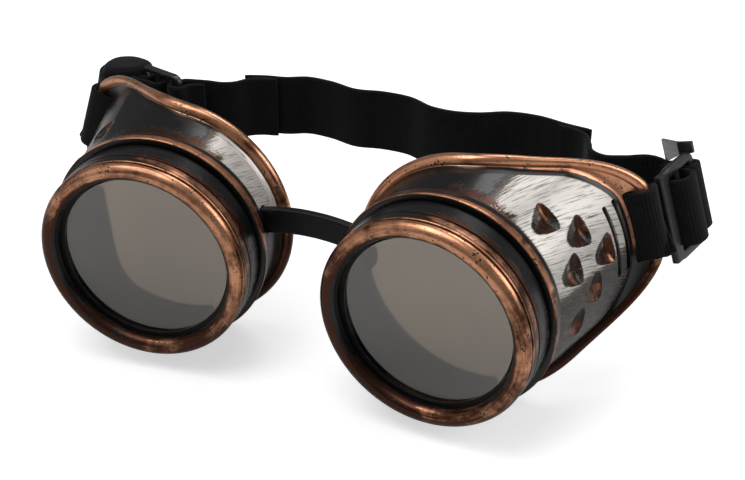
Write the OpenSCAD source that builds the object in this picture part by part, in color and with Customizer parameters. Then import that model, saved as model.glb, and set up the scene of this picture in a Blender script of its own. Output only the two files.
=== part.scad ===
// Steampunk goggles: two flared eyecups with screw-on bezels, a rubber nose bridge and an
// elastic webbing headband with two sliders. Millimetres, Z up, the lenses look along -Y.
// Right and left are as seen from the front: right is +X.

/* [Eyecups] */
// Distance between the two lens centres
lens_spacing = 82; // [78:0.5:88]
// Angle by which each eyecup turns inwards from straight ahead
toe_in = 6; // [2:0.5:8]
// Wall thickness of the flared cup
cup_wall = 2.2; // [2:0.1:2.4]
// Outer radius of the flared wall where it leaves the ridge
cup_front_r = 30.6; // [30:0.1:31]
// Rise of the side panel's radius for each millimetre back
panel_slope = 0.2; // [0.16:0.01:0.22]
// Distance from the bead's plane back to the rim at the nose and cheek
rim_depth = 28; // [26:0.5:30]
// Further distance back to the rim at the strap tail
tail_depth = 28.4; // [26:0.2:30]
// Radius of the rim's bead line at the nose
rim_nose_r = 32; // [31.6:0.1:33]
// Gentle swell of the rim towards the tail
rim_swell = 3.6; // [3:0.1:4]
// Extra reach of the rim at the tail
tail_reach = 7.7; // [7:0.1:8.2]
// Height of the tail's middle line above the lens centre, as an angle about the lens axis
tail_angle = 18; // [14:1:22]
// Half width of the straight tail end, as an angle about the lens axis
tail_half = 14; // [13:0.5:16]
// Radius of the rolled bead along the rear rim
rim_bead = 1.9; // [1.6:0.1:2.1]
// Width of the flange between side panel and rim bead at the nose
flange_w = 4.5; // [4:0.1:5]
// Extra width of that flange at the tail
flange_tail = 2.5; // [2:0.1:3]

/* [Ridge and collar] */
// Outer radius of the ridge at its front edge
ridge_r = 31.7; // [31.5:0.1:32.2]
// Length of the ridge along the lens axis
ridge_len = 4.4; // [4:0.1:5]
// Thickness of the screw collar under the bezel
collar_wall = 2.4; // [2:0.1:2.8]

/* [Bezels and lenses] */
// Outer radius of the bezel skirt
bezel_r = 30; // [29.8:0.1:30.4]
// Length of the skirt behind the bead's plane
skirt_len = 10.9; // [10:0.1:12]
// Wall of the bezel skirt
skirt_wall = 1.6; // [1.4:0.1:1.8]
// Radius of the bezel's rolled front bead
bezel_bead = 2.4; // [2.2:0.1:2.6]
// Running clearance between skirt and collar
thread_gap = 0.4; // [0.3:0.05:0.6]
// Thickness of each lens
lens_t = 2; // [1.5:0.1:2.5]
// Thickness of the gasket ring in front of the lens
gasket_t = 1; // [0.6:0.1:1.4]
// Width by which the gasket shows inside the bezel's bead
gasket_lip = 0.8; // [0.4:0.1:1.4]

/* [Vents and slots] */
// Radius of the trough of each vent
vent_r = 6; // [5.5:0.1:6.5]
// Depth of a vent at its rear face
vent_depth = 2.7; // [2.4:0.1:2.9]
// Distance from the bead's plane to the front row of vents
vent_s = 27; // [26.5:0.1:28]
// Distance between rows of vents along the lens axis
vent_pitch = 8.3; // [8:0.1:8.6]
// Angle between vents of one row
vent_step = 28; // [26:0.5:30]
// Length of the strap slots
slot_len = 20.6; // [20.4:0.1:21.4]
// Width of the two spare slots
slot_w = 1.4; // [1:0.1:1.6]
// Distance between the strap slots along the tail
slot_pitch = 4.4; // [4.2:0.1:4.8]

/* [Nose bridge] */
// Height of the rubber strip
bridge_h = 7.4; // [6:0.1:8]
// Thickness of the rubber strip
bridge_t = 2.5; // [2:0.1:3]
// Height of the strip's middle above the lens centres
bridge_z = 9.4; // [8:0.1:10.4]
// Rise of the strip's arch between the cups
bridge_rise = 1.7; // [1:0.1:2.2]
// Clearance of the strip in the slots of the cups
bridge_gap = 0.3; // [0.2:0.05:0.4]

/* [Webbing and sliders] */
// Width of the elastic webbing
web_w = 19.6; // [19:0.1:20]
// Thickness of the webbing
web_t = 1.5; // [1.3:0.05:1.6]
// Clearance between webbing layers and what they lie on
web_gap = 0.3; // [0.2:0.05:0.35]
// Height of the headband's middle above the lens centres
band_z = 11; // [10:0.5:12]
// Height of each slider frame
slider_h = 27; // [26:0.5:29]
// Thickness of each slider frame
slider_t = 2.2; // [2:0.1:2.4]
// Width of the end bars of a slider
bar_w = 2.8; // [2.5:0.1:3]
// Width of a slider's middle bar
mid_bar_w = 2.4; // [2.2:0.1:2.6]
// Width of the slider's front window
window_a = 3.4; // [3.3:0.1:3.8]
// Width of the slider's rear window
window_b = 5.6; // [5.5:0.1:6]
// Distance between the rim's bead line and the right slider
slider_off = 5.9; // [5.5:0.1:7]
// Distance by which the right slider sags below the tail's middle line
slider_sag = 2.5; // [0:0.5:3]

/* [Hidden] */
// Clearance of flat faces that lie on each other
seat_gap = 0.1;
// Lens stack, as distances behind the bead's plane
shoulder_s = 1.6;
gasket_s = shoulder_s + seat_gap;
lens_s = gasket_s + gasket_t + seat_gap;
collar_s = lens_s + lens_t + seat_gap;
ridge_s = skirt_len + 0.5;
ridge_end = ridge_s + ridge_len;
// Radii of the stack
skirt_in = bezel_r - skirt_wall;
collar_r = skirt_in - thread_gap;
bore_r = collar_r - collar_wall;
bead_c = bezel_r - 0.1 - bezel_bead;
aperture_r = bead_c - bezel_bead;
// Front end of the flared wall, inside the ridge
wall_s = ridge_end - 1.6;
// Bridge strip: level with the wall just behind the ridges at the nose
bridge_y = (ridge_end + 0.6 + bridge_gap + bridge_t / 2
    + cup_front_r * sin(toe_in)) / cos(toe_in);
// Side of the cups where the strip goes through, and the inner face of the wall there
bridge_x = lens_spacing / 2 + bridge_y * sin(toe_in) - cup_front_r * cos(toe_in) * 0.958;
bridge_end = bridge_x + cup_wall + 2 * bridge_gap + 1.9;
// Rim lines about the lens axis, by the angle d from the tail's middle line
function fall(d, w) = abs(d) < w ? (1 + cos(180 * d / w)) / 2 : 0;
function past(d) = max(0, abs(d) - 4);
function rim_r0(d) = rim_nose_r + rim_swell * pow((1 + cos(d)) / 2, 1.5)
    + tail_reach * fall(past(d), 50);
function rim_s0(d) = rim_depth + tail_depth / fall(past(tail_half), 76) * fall(past(d), 76);
tail_x = rim_r0(tail_half) * cos(tail_half);
tail_s = rim_s0(tail_half);
function turn(d) = d > 180 ? turn(d - 360) : d < -180 ? turn(d + 360) : d;
function rim_r(d) = abs(turn(d)) < tail_half ? tail_x / cos(d) : rim_r0(turn(d));
function rim_s(d) = abs(turn(d)) < tail_half ? tail_s : rim_s0(turn(d));
// Front of the flange on the side panel
function panel_r(s) = cup_front_r + panel_slope * (s - ridge_end);
function edge_s(d) = rim_s(d) - flange_w - flange_tail * fall(turn(d), 70);
function edge_r(d) = min(panel_r(edge_s(d)), rim_r(d) - 1.5);
// Ground under the rims and the middle of the whole object from front to back
ground = max([for (a = [200 : 2 : 340]) -(rim_r(a - tail_angle) + rim_bead) * sin(a)]);
// Route of the headband from right to left, in plan
band_route = [[61, 84.2], [53, 85.4], [44, 87.4], [35, 86.6], [27, 82.6], [20, 80.8],
    [13, 81.2], [4, 85.2], [-5, 85.6], [-13, 84.2], [-23, 86.6], [-31, 86.8], [-37, 84],
    [-43, 82.8], [-49.5, 80.6]];
front_y = -bead_c * sin(toe_in) - bezel_bead;
rear_y = max([for (p = band_route) p[1]]) + web_t / 2;
mid_y = (front_y + rear_y) / 2;

// Places a right-hand eyecup's own frame: lens axis along Y, origin at the bead's centre.
module cup_place(side) {
    mirror([side < 0 ? 1 : 0, 0, 0])
        translate([lens_spacing / 2, -mid_y, ground])
        rotate([0, 0, -toe_in])
        children();
}

// Revolves a half section of radius and distance back about the lens axis.
module revolve(section, facets = 96) {
    rotate([-90, 0, 0]) rotate_extrude($fn = facets) polygon(section);
}

// Closed section of the flared wall at an angle from the tail: panel, flange, bead, inside.
function wall_section(d) =
    let(r1 = edge_r(d), s1 = edge_s(d), r2 = rim_r(d), s2 = rim_s(d), r0 = cup_front_r,
        e = [r2 - 0.35 * rim_bead, s2 - 0.93 * rim_bead],
        c = [r1 + 0.12 * (r2 - r1), s1 + 0.72 * (e[1] - s1)],
        o = [r1, s1],
        q = function(t) (1 - t) * (1 - t) * o + 2 * t * (1 - t) * c + t * t * e,
        g = function(t) let(v = (1 - t) * (c - o) + t * (e - c)) v / norm(v),
        in = function(t) q(t) + cup_wall * [-g(t)[1], g(t)[0]])
    concat([[r0 - panel_slope * 1.6, wall_s], o], [for (t = [0.35, 0.65]) q(t)], [e],
        [for (a = [158, 122, 86, 50, 14, -22, -60]) [r2 + rim_bead * sin(a),
            s2 + rim_bead * cos(a)]],
        [in(0.62)], [in(0.25)], [[r1 - cup_wall, s1], [r0 - cup_wall - panel_slope * 1.6, wall_s]]);

// Place in that list of the flange's inner point behind the strap slot.
wall_in = 12;

// Angles at which the wall's sections stand: both tail corners are among them.
wall_steps = 66;
wall_angles = concat([for (a = [-1 : 0.5 : 1]) a * tail_half],
    [for (i = [1 : wall_steps - 1]) tail_half + i * (360 - 2 * tail_half) / wall_steps]);

// Flared wall of the cup as one closed ring of sections.
module flared_wall() {
    sections = [for (d = wall_angles) wall_section(d)];
    m = len(sections[0]);
    n = len(wall_angles);
    points = [for (i = [0 : n - 1]) for (p = sections[i])
        [p[0] * cos(wall_angles[i] + tail_angle), p[1], p[0] * sin(wall_angles[i] + tail_angle)]];
    faces = [for (i = [0 : n - 1]) for (j = [0 : m - 1])
        let(a = i * m + j, b = i * m + (j + 1) % m, k = (i + 1) % n,
            c = k * m + (j + 1) % m, e = k * m + j)
        each [[a, c, b], [a, e, c]]];
    polyhedron(points, faces, convexity = 8);
}

// Screw collar and ridge in front of the flared wall.
module collar_and_ridge() {
    revolve([[bore_r, collar_s], [collar_r, collar_s], [collar_r, ridge_s],
        [ridge_r - 0.4, ridge_s], [ridge_r, ridge_s + 0.4], [ridge_r - 0.5, ridge_end],
        [cup_front_r - 0.2, ridge_end + 0.5], [cup_front_r - cup_wall / 2, ridge_end + 0.5],
        [bore_r, ridge_s + 1]]);
}

// One vent: a round trough, drawn forwards, that breaks through at its rear face.
module vent_cut(angle, s) {
    rotate([0, -angle, 0])
        translate([panel_r(s) - vent_depth + vent_r, s, 0])
        rotate([90, 0, 0]) rotate([0, 7, 0])
        cylinder(r = vent_r, h = 2 * vent_pitch, $fn = 48);
}

// Triangle of six vents that points to the tail.
module vents() {
    for (row = [0 : 2]) {
        for (k = [0 : 2 - row]) {
            vent_cut(tail_angle + 2.5 + (k - (2 - row) / 2) * vent_step, vent_s + row * vent_pitch);
        }
    }
}

// Two spare slots and the wider slot that the webbing goes through.
strap_slot_s = tail_s - rim_bead - web_gap - 0.25 - web_t / 2;
module slots() {
    rotate([0, -tail_angle, 0]) {
        for (k = [1, 2]) {
            translate([tail_x - 12, strap_slot_s - k * slot_pitch - slot_w / 2, -slot_len / 2])
                cube([20, slot_w, slot_len]);
        }
        translate([tail_x - 12, strap_slot_s - web_t / 2 - 0.4, -slot_len / 2])
            cube([20, web_t + 0.8, slot_len]);
    }
}

// Outline of the nose bridge's arch between the two cups, and its heads inside them.
arch_r = (pow(bridge_x, 2) + pow(bridge_rise, 2)) / (2 * bridge_rise);
module bridge_strip(extra) {
    translate([0, bridge_y + bridge_t / 2 + extra, 0])
        rotate([90, 0, 0])
        linear_extrude(bridge_t + 2 * extra)
        intersection() {
            translate([0, bridge_z - arch_r]) difference() {
                circle(r = arch_r + bridge_h / 2 + extra, $fn = 240);
                circle(r = arch_r - bridge_h / 2 - extra, $fn = 240);
            }
            translate([-bridge_end, bridge_z - 20]) square([2 * bridge_end, 40]);
        }
}

module eyecup() {
    difference() {
        union() {
            collar_and_ridge();
            flared_wall();
        }
        vents();
        slots();
        rotate([0, 0, toe_in]) translate([-lens_spacing / 2, 0, 0]) bridge_strip(bridge_gap);
    }
}

// Bezel: rolled bead, shoulder for the gasket, skirt with its seam groove.
module bezel() {
    bead = [for (a = [0 : 12 : 180]) [bead_c + bezel_bead * cos(a), -bezel_bead * sin(a)]];
    revolve(concat([[bezel_r, skirt_len - 0.3], [bezel_r, 4.5], [bezel_r - 0.4, 4.4],
        [bezel_r - 0.4, 4.1], [bezel_r, 4], [bezel_r, 2.4]], bead,
        [[aperture_r, shoulder_s], [skirt_in, shoulder_s], [skirt_in, skirt_len],
        [bezel_r - 0.3, skirt_len]]));
}

module gasket() {
    revolve([[aperture_r - gasket_lip, gasket_s], [skirt_in - 0.5, gasket_s],
        [skirt_in - 0.5, gasket_s + gasket_t], [aperture_r - gasket_lip, gasket_s + gasket_t]]);
}

module lens() {
    revolve([[0, lens_s], [skirt_in - 1.2, lens_s], [skirt_in - 0.9, lens_s + 0.3],
        [skirt_in - 0.9, lens_s + lens_t], [0, lens_s + lens_t]]);
}

// Frames: a point and three directions. A slider's frame has its front edge's middle, the
// direction along the strap, the direction of its height and the direction away from the head.
function unit(v) = v / norm(v);
function tail_dir(side, x, s, z) =
    let(h = x * cos(tail_angle) - z * sin(tail_angle), up = x * sin(tail_angle) + z * cos(tail_angle))
    [side * (h * cos(toe_in) + s * sin(toe_in)), -h * sin(toe_in) + s * cos(toe_in), up];
function tail_pt(side, x, s, z) = [side * lens_spacing / 2, -mid_y, ground]
    + tail_dir(side, x, s, z);
function row_pt(x, y, z) = [x, y - mid_y, z + ground];
slider_len = 2 * bar_w + mid_bar_w + window_a + window_b;
right_frame = [tail_pt(1, tail_x + 3, tail_s + slider_off, -slider_sag),
    tail_dir(1, sin(10), cos(10), 0), tail_dir(1, 0, 0, 1), tail_dir(1, cos(10), -sin(10), 0)];
left_frame = [row_pt(-lens_spacing / 2 - 39.5, 70.8, band_z), [cos(16), -sin(16), 0], [0, 0, 1],
    [sin(16), cos(16), 0]];
function on_slider(f, a, h) = f[0] + a * f[1] + h * f[3];

// Ring of points of an arc, in a plane of two coordinates.
function arc(c, r, a0, a1, n) = [for (i = [0 : n]) let(a = a0 + (a1 - a0) * i / n)
    [c[0] + r * cos(a), c[1] + r * sin(a)]];

// Places in a slider, along the strap and away from the head, for webbing's middle line.
layer = web_t + web_gap;
under = slider_t / 2 + web_gap + web_t / 2;
bend = web_t / 2 + 0.65;
mid_a = bar_w + window_a + mid_bar_w / 2;
front_a = bar_w + window_a / 2;
rear_a = 2 * mid_a - front_a;
loop_at_slider = concat(
    [[-1.5, -under - layer], [rear_a - bend - 1.5, -under - layer]],
    arc([rear_a - bend, -under - layer + bend], bend, -90, 0, 4),
    arc([mid_a, 0.6], rear_a - mid_a, 0, 180, 10),
    arc([front_a - bend, bend - under], bend, 0, -90, 4), [[-1.5, -under]]);
window_end = slider_len - bar_w;
hook_a = window_end - web_gap - web_t / 2;
tip_a = slider_len + web_gap + web_t / 2;

// Webbing round the rim's bead at the tail, from outside through the slot to the inside.
wrap_r = rim_bead + web_gap + 0.25 + web_t / 2;
wrap_in = 1.8;
inner_c = [wall_section(tail_half)[wall_in][0] * cos(tail_half) + 0.1, tail_s - wrap_r + wrap_in];
loop_at_rim = concat([for (a = [-25, 5, 35, 62, 90]) [tail_x + wrap_r * cos(a),
    tail_s - wrap_r * sin(a)]],
    [for (q = [0, 30, 60, 90]) [inner_c[0] - wrap_in * sin(q), inner_c[1] - wrap_in * cos(q)]]);

// Smooth curve through stations, each a point and the webbing's width direction.
function spline(p0, p1, p2, p3, t) = 0.5 * (2 * p1 + (p2 - p0) * t
    + (2 * p0 - 5 * p1 + 4 * p2 - p3) * t * t + (3 * p1 - p0 - 3 * p2 + p3) * t * t * t);
function smooth(k, n) = let(m = len(k)) concat([for (i = [0 : m - 2]) for (j = [0 : n - 1])
    let(t = j / n, a = k[max(0, i - 1)], b = k[i], c = k[i + 1], d = k[min(m - 1, i + 2)])
    [spline(a[0], b[0], c[0], d[0], t), unit(spline(a[1], b[1], c[1], d[1], t))]], [k[m - 1]]);

// Webbing along stations: a flat band of its width and thickness, open or closed.
module webbing(st, closed = false) {
    n = len(st);
    points = [for (i = [0 : n - 1])
        let(b = closed ? st[(i + n - 1) % n][0] : st[max(0, i - 1)][0],
            f = closed ? st[(i + 1) % n][0] : st[min(n - 1, i + 1)][0],
            w = st[i][1], m = unit(cross(f - b, w)) * web_t / 2, e = w * web_w / 2)
        each [st[i][0] + m + e, st[i][0] - m + e, st[i][0] - m - e, st[i][0] + m - e]];
    sides = [for (i = [0 : n - (closed ? 1 : 2)]) for (j = [0 : 3])
        let(a = 4 * i + j, b = 4 * i + (j + 1) % 4, k = 4 * ((i + 1) % n),
            c = k + (j + 1) % 4, e = k + j)
        each [[a, b, c], [a, c, e]]];
    ends = closed ? [] : [[0, 2, 1], [0, 3, 2], [4 * n - 4, 4 * n - 3, 4 * n - 2],
        [4 * n - 4, 4 * n - 2, 4 * n - 1]];
    polyhedron(points, concat(sides, ends), convexity = 10);
}

// Two layers of the left loop fold back behind the cup, along this route in plan.
left_fold = [[-86.8, 57.5, 14], [-92, 63, 14], [-95.2, 69, 12], [-93.6, 74.2, 8], [-89, 75.8, 5],
    [-85.2, 73.4, 2]];

// Stations of a strap loop: rim, inner layer, slider, outer layer.
function rim_stations(side) = [for (p = loop_at_rim)
    [tail_pt(side, p[0], p[1], 0), tail_dir(side, 0, 0, 1)]];
function slider_stations(f, path) = [for (p = path) [on_slider(f, p[0], p[1]), f[2]]];
function fold_stations(off) = [for (i = [0 : len(left_fold) - 1])
    let(p = left_fold[i], b = left_fold[max(0, i - 1)], f = left_fold[min(len(left_fold) - 1, i + 1)],
        t = unit([f[0] - b[0], f[1] - b[1]]), o = off * [-t[1], t[0]])
    [row_pt(p[0] + o[0], p[1] + o[1], band_z), unit([-t[1] * -sin(p[2]), t[0] * -sin(p[2]),
        cos(p[2])])]];
function flip(v) = [for (i = [len(v) - 1 : -1 : 0]) v[i]];

module right_strap_loop() {
    color("#1d1d1f") webbing(concat(rim_stations(1), slider_stations(right_frame, loop_at_slider)),
        closed = true);
}

module left_strap_loop() {
    color("#1d1d1f") webbing(concat(rim_stations(-1),
        smooth(fold_stations(-layer / 2), 3),
        slider_stations(left_frame, loop_at_slider),
        flip(smooth(fold_stations(layer / 2), 3))), closed = true);
}

// Side straps: sewn end round the slider's rear bar, then the way to the headband.
right_hook = concat([[hook_a + 3.6, -9.5], [hook_a + 3.6, -7]],
    [[tip_a, -2.2]], arc([tip_a - bend, under - bend], bend, 0, 90, 4),
    arc([hook_a + bend, under - bend], bend, 90, 180, 4), [[hook_a, -2.2]],
    [[hook_a + 1.8, -7], [hook_a + 1.8, -9.5]]);
left_hook = concat([[hook_a + 9, 5], [hook_a + 6.2, 3.2]],
    [[tip_a, 0.8]], arc([tip_a - bend, bend - under], bend, 0, -90, 4),
    arc([hook_a + bend, bend - under], bend, -90, -180, 4), [[hook_a, 1.4]],
    [[hook_a + 1.4, 4], [hook_a + 4.6, 6]]);
right_side_route = [[80.5, 74.6], [73.5, 71.6], [68, 70], [64.2, 71.8], [62.4, 76], [60, 80.8],
    [56.5, 83], [51, 83.9]];
left_side_route = [[-58.5, 72.4], [-53.5, 73], [-50.2, 74.8], [-47.6, 78.2], [-44, 80.4],
    [-39, 81.6]];
function plan_stations(route) = [for (p = route) [row_pt(p[0], p[1], band_z), [0, 0, 1]]];

module right_side_strap() {
    color("#1d1d1f") webbing(concat(slider_stations(right_frame, right_hook),
        smooth(plan_stations(right_side_route), 3)));
}

module left_side_strap() {
    color("#1d1d1f") webbing(concat(slider_stations(left_frame, left_hook),
        smooth(plan_stations(left_side_route), 3)));
}

module back_band() {
    color("#1d1d1f") webbing(smooth(plan_stations(band_route), 4));
}

// Rectangle with round corners, exact arcs.
module rounded(x0, y0, x1, y1, r) {
    translate([x0 + r, y0]) square([x1 - x0 - 2 * r, y1 - y0]);
    translate([x0, y0 + r]) square([x1 - x0, y1 - y0 - 2 * r]);
    for (x = [x0 + r, x1 - r]) {
        for (y = [y0 + r, y1 - r]) {
            translate([x, y]) circle(r = r, $fn = 48);
        }
    }
}

// Slider: a frame with two windows and a middle bar, placed by its frame.
module slider(f) {
    side = cross(f[1], f[2]) * f[3] < 0 ? -1 : 1;
    n = cross(f[2], f[1]);
    inner = web_w / 2 + 0.8;
    multmatrix([[f[1][0], n[0], f[2][0], f[0][0]], [f[1][1], n[1], f[2][1], f[0][1]],
        [f[1][2], n[2], f[2][2], f[0][2]], [0, 0, 0, 1]])
        rotate([90, 0, 0])
        linear_extrude(slider_t, center = true)
        difference() {
            rounded(0, -slider_h / 2, slider_len, slider_h / 2, 3);
            rounded(bar_w, -inner, bar_w + window_a, inner, 0.8);
            rounded(window_end - window_b, -inner, window_end, inner, 0.8);
        }
}

module nose_bridge() {
    color("#17171a") translate([0, -mid_y, ground]) {
        bridge_strip(0);
        for (side = [-1, 1]) {
            translate([side * bridge_end, bridge_y, bridge_z
                - arch_r + sqrt(arch_r * arch_r - bridge_end * bridge_end)])
                cube([2, bridge_t + 2.4, bridge_h + 2.6], center = true);
        }
    }
}

module right_eyecup() {
    color("#8f8a88") cup_place(1) eyecup();
}

module left_eyecup() {
    color("#8f8a88") cup_place(-1) eyecup();
}

module right_bezel() {
    color("#b5714a") cup_place(1) bezel();
}

module left_bezel() {
    color("#b5714a") cup_place(-1) bezel();
}

module right_gasket() {
    color("#26262a") cup_place(1) gasket();
}

module left_gasket() {
    color("#26262a") cup_place(-1) gasket();
}

module right_lens() {
    color([0.4, 0.38, 0.36, 0.6]) cup_place(1) lens();
}

module left_lens() {
    color([0.4, 0.38, 0.36, 0.6]) cup_place(-1) lens();
}

module right_slider() {
    color("#3a3a3f") slider(right_frame);
}

module left_slider() {
    color("#3a3a3f") slider(left_frame);
}

left_eyecup();
right_eyecup();
left_bezel();
right_bezel();
left_gasket();
right_gasket();
left_lens();
right_lens();
nose_bridge();
left_slider();
right_slider();
left_strap_loop();
right_strap_loop();
left_side_strap();
right_side_strap();
back_band();
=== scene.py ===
"""Looks of the steampunk goggles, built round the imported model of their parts.

Millimetres are used for every size and shape, and turned to metres where a mesh is made. The row
frame has +Z up and the lenses look along -Y. Right and left are as seen from the front.
"""

import logging
from dataclasses import dataclass, field
from enum import Enum
from typing import Any

import bmesh
import bpy
import numpy as np
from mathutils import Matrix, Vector


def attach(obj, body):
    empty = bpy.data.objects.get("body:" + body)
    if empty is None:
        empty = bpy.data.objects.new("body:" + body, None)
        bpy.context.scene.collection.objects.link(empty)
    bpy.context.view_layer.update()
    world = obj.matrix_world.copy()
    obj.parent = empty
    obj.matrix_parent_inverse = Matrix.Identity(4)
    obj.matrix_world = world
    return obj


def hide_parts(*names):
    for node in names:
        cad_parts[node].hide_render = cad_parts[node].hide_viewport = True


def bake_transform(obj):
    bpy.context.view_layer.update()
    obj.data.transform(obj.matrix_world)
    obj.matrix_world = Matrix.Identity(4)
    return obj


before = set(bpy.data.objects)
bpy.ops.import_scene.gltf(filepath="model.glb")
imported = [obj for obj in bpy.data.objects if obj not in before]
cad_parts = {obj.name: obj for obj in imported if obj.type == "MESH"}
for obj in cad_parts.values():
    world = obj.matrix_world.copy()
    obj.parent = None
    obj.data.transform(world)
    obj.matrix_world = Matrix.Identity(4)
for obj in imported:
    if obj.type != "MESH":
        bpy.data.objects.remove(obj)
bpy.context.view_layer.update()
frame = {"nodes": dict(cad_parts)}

Array = np.ndarray
MM = 0.001
POLE_MERGE = 0.01  # mm; joins the collapsed rows at the ends of a swept piece
DISC_MERGE = 0.0004  # mm; joins the points of a turned piece on its axis
SMOOTH = {"interpolation_type": "SMOOTHSTEP"}
LOG = logging.getLogger("goggles")


class Side(Enum):
    """Side of the goggles as seen from the front; the value is the sign of X."""

    LEFT = -1
    RIGHT = 1

    @property
    def word(self) -> str:
        """The side's name as the nodes and bodies use it."""
        return self.name.lower()


# --------------------------------------------------------------------------- mesh tools


def grid_faces(rows: int, columns: int, wrap_rows: bool, wrap_columns: bool) -> Array:
    """Four-cornered faces of a grid of points that are numbered row by row.

    Args:
        rows: Number of rows of points.
        columns: Number of points in a row.
        wrap_rows: True if the last row joins the first one.
        wrap_columns: True if the last point of a row joins its first one.

    Returns:
        Point numbers, one row of four for each face.
    """
    i = np.arange(rows if wrap_rows else rows - 1)[:, None]
    j = np.arange(columns if wrap_columns else columns - 1)[None, :]
    i2, j2 = (i + 1) % rows, (j + 1) % columns
    corners = [i * columns + j, i2 * columns + j, i2 * columns + j2, i * columns + j2]
    return np.stack([np.broadcast_to(c, (len(i), j.shape[1])) for c in corners], -1).reshape(-1, 4)


def signed_volume(points: Array, faces: Array) -> float:
    """Volume inside closed faces, negative if they point inwards.

    A face adds a sixth of the triple product of its corners, for each of its two triangles.

    Args:
        points: Corner points.
        faces: Point numbers of the four-cornered faces.

    Returns:
        The volume.
    """
    p = points[faces]
    first = np.einsum("ij,ij->i", p[:, 0], np.cross(p[:, 1], p[:, 2]))
    second = np.einsum("ij,ij->i", p[:, 0], np.cross(p[:, 2], p[:, 3]))
    return float((first + second).sum() / 6)


def make_piece(name: str, points: Array, faces: Array, sharp: float = 40.0) -> bpy.types.Object:
    """Makes a smooth-shaded object from points in millimetres, with its faces outwards.

    Args:
        name: Name of the piece.
        points: Corner points in the row frame, in millimetres.
        faces: Point numbers of the four-cornered faces.
        sharp: Edges that bend more than this angle in degrees stay sharp.

    Returns:
        The new object, at the origin.
    """
    if signed_volume(points, faces) < 0:
        faces = faces[:, ::-1]
    mesh = bpy.data.meshes.new(name)
    mesh.from_pydata(points * MM, [], faces)
    mesh.update()
    piece = bpy.data.objects.new(name, mesh)
    bpy.context.scene.collection.objects.link(piece)
    smooth(piece, sharp)
    return piece


def smooth(piece: bpy.types.Object, sharp: float) -> None:
    """Shades a piece smoothly apart from edges that bend more than the angle in degrees."""
    piece.data.shade_smooth()
    piece.data.set_sharp_from_angle(angle=np.radians(sharp))


def close_poles(piece: bpy.types.Object, distance: float) -> None:
    """Merges points that lie within a distance in millimetres, so that poles are closed."""
    work = bmesh.new()
    work.from_mesh(piece.data)
    bmesh.ops.remove_doubles(work, verts=work.verts, dist=distance * MM)
    bmesh.ops.dissolve_degenerate(work, edges=work.edges, dist=distance * MM)
    work.to_mesh(piece.data)
    work.free()


def make_tube(
    name: str, grid: Array, sharp: float, ring: bool = False, cloth: Array | None = None
) -> bpy.types.Object:
    """Makes a piece of a grid whose rows are closed outlines, one behind the other.

    Args:
        name: Name of the piece.
        grid: Rows of points in the row frame, in millimetres.
        sharp: Edges that bend more than this angle in degrees stay sharp.
        ring: True if the last row joins the first one; without it the end rows are merged.
        cloth: Places along and across the webbing for the field cloth.

    Returns:
        The new object.
    """
    piece = make_piece(name, grid.reshape(-1, 3), grid_faces(*grid.shape[:2], ring, True), sharp)
    if cloth is not None:
        set_field(piece, "cloth", cloth.reshape(-1, 3))
    if not ring:
        close_poles(piece, POLE_MERGE)
    return piece


def dress(piece: bpy.types.Object, finish: bpy.types.Material) -> None:
    """Gives a piece one material and takes off any other."""
    piece.data.materials.clear()
    piece.data.materials.append(finish)


def points_of(piece: bpy.types.Object) -> Array:
    """Corner points of a piece in millimetres."""
    flat = np.empty(len(piece.data.vertices) * 3, np.float32)
    piece.data.vertices.foreach_get("co", flat)
    return flat.reshape(-1, 3).astype(float) / MM


def set_field(piece: bpy.types.Object, name: str, values: Array) -> None:
    """Stores a number or a vector for each point of a piece, for its material to read.

    Args:
        piece: Piece that gets the field.
        name: Name of the field.
        values: One row for each point.
    """
    kind = "FLOAT" if values.ndim == 1 else "FLOAT_VECTOR"
    layer = piece.data.attributes.get(name) or piece.data.attributes.new(name, kind, "POINT")
    key = "value" if values.ndim == 1 else "vector"
    layer.data.foreach_set(key, values.astype(np.float32).ravel())


def apply_boolean(piece: bpy.types.Object, tool: bpy.types.Object, operation: str) -> None:
    """Cuts a tool out of a piece, or joins it on, and removes the tool.

    Args:
        piece: Piece that is changed.
        tool: Closed shell that is used up.
        operation: DIFFERENCE or UNION.
    """
    step = piece.modifiers.new("cut", "BOOLEAN")
    step.operation, step.object, step.solver = operation, tool, "EXACT"
    graph = bpy.context.evaluated_depsgraph_get()
    done = bpy.data.meshes.new_from_object(piece.evaluated_get(graph))
    piece.modifiers.clear()
    piece.data = done
    bpy.data.objects.remove(tool)


def rounded_loop(corners: Array, radii: Array, step: float, turns: int = 4) -> Array:
    """Closed outline with round corners and evenly spaced points between them.

    Each corner gives way to a curve of second degree between two points on its sides, which lie
    one radius from it, or less where the side is short.

    Args:
        corners: Corner points of the outline, two numbers each.
        radii: Radius at each corner.
        step: Largest distance between points on straight stretches.
        turns: Number of parts of each round corner.

    Returns:
        Points of the outline.
    """
    before, after = np.roll(corners, 1, 0) - corners, np.roll(corners, -1, 0) - corners
    long_b, long_a = np.linalg.norm(before, axis=1), np.linalg.norm(after, axis=1)
    cut = np.minimum(radii, 0.45 * np.minimum(long_b, long_a))
    start = corners + before / long_b[:, None] * cut[:, None]
    end = corners + after / long_a[:, None] * cut[:, None]
    t = np.linspace(0, 1, turns + 1)[None, :, None]
    arcs = (1 - t) ** 2 * start[:, None] + 2 * t * (1 - t) * corners[:, None] + t**2 * end[:, None]
    parts: list[Array] = []
    for k, arc in enumerate(arcs):
        parts.append(arc if cut[k] > 1e-6 else arc[:1])
        following = start[(k + 1) % len(corners)]
        count = int(np.linalg.norm(following - arc[-1]) // step)
        share = np.linspace(0, 1, count + 2)[1:-1, None]
        parts.append(arc[-1] * (1 - share) + following * share)
    return np.concatenate(parts)


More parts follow.
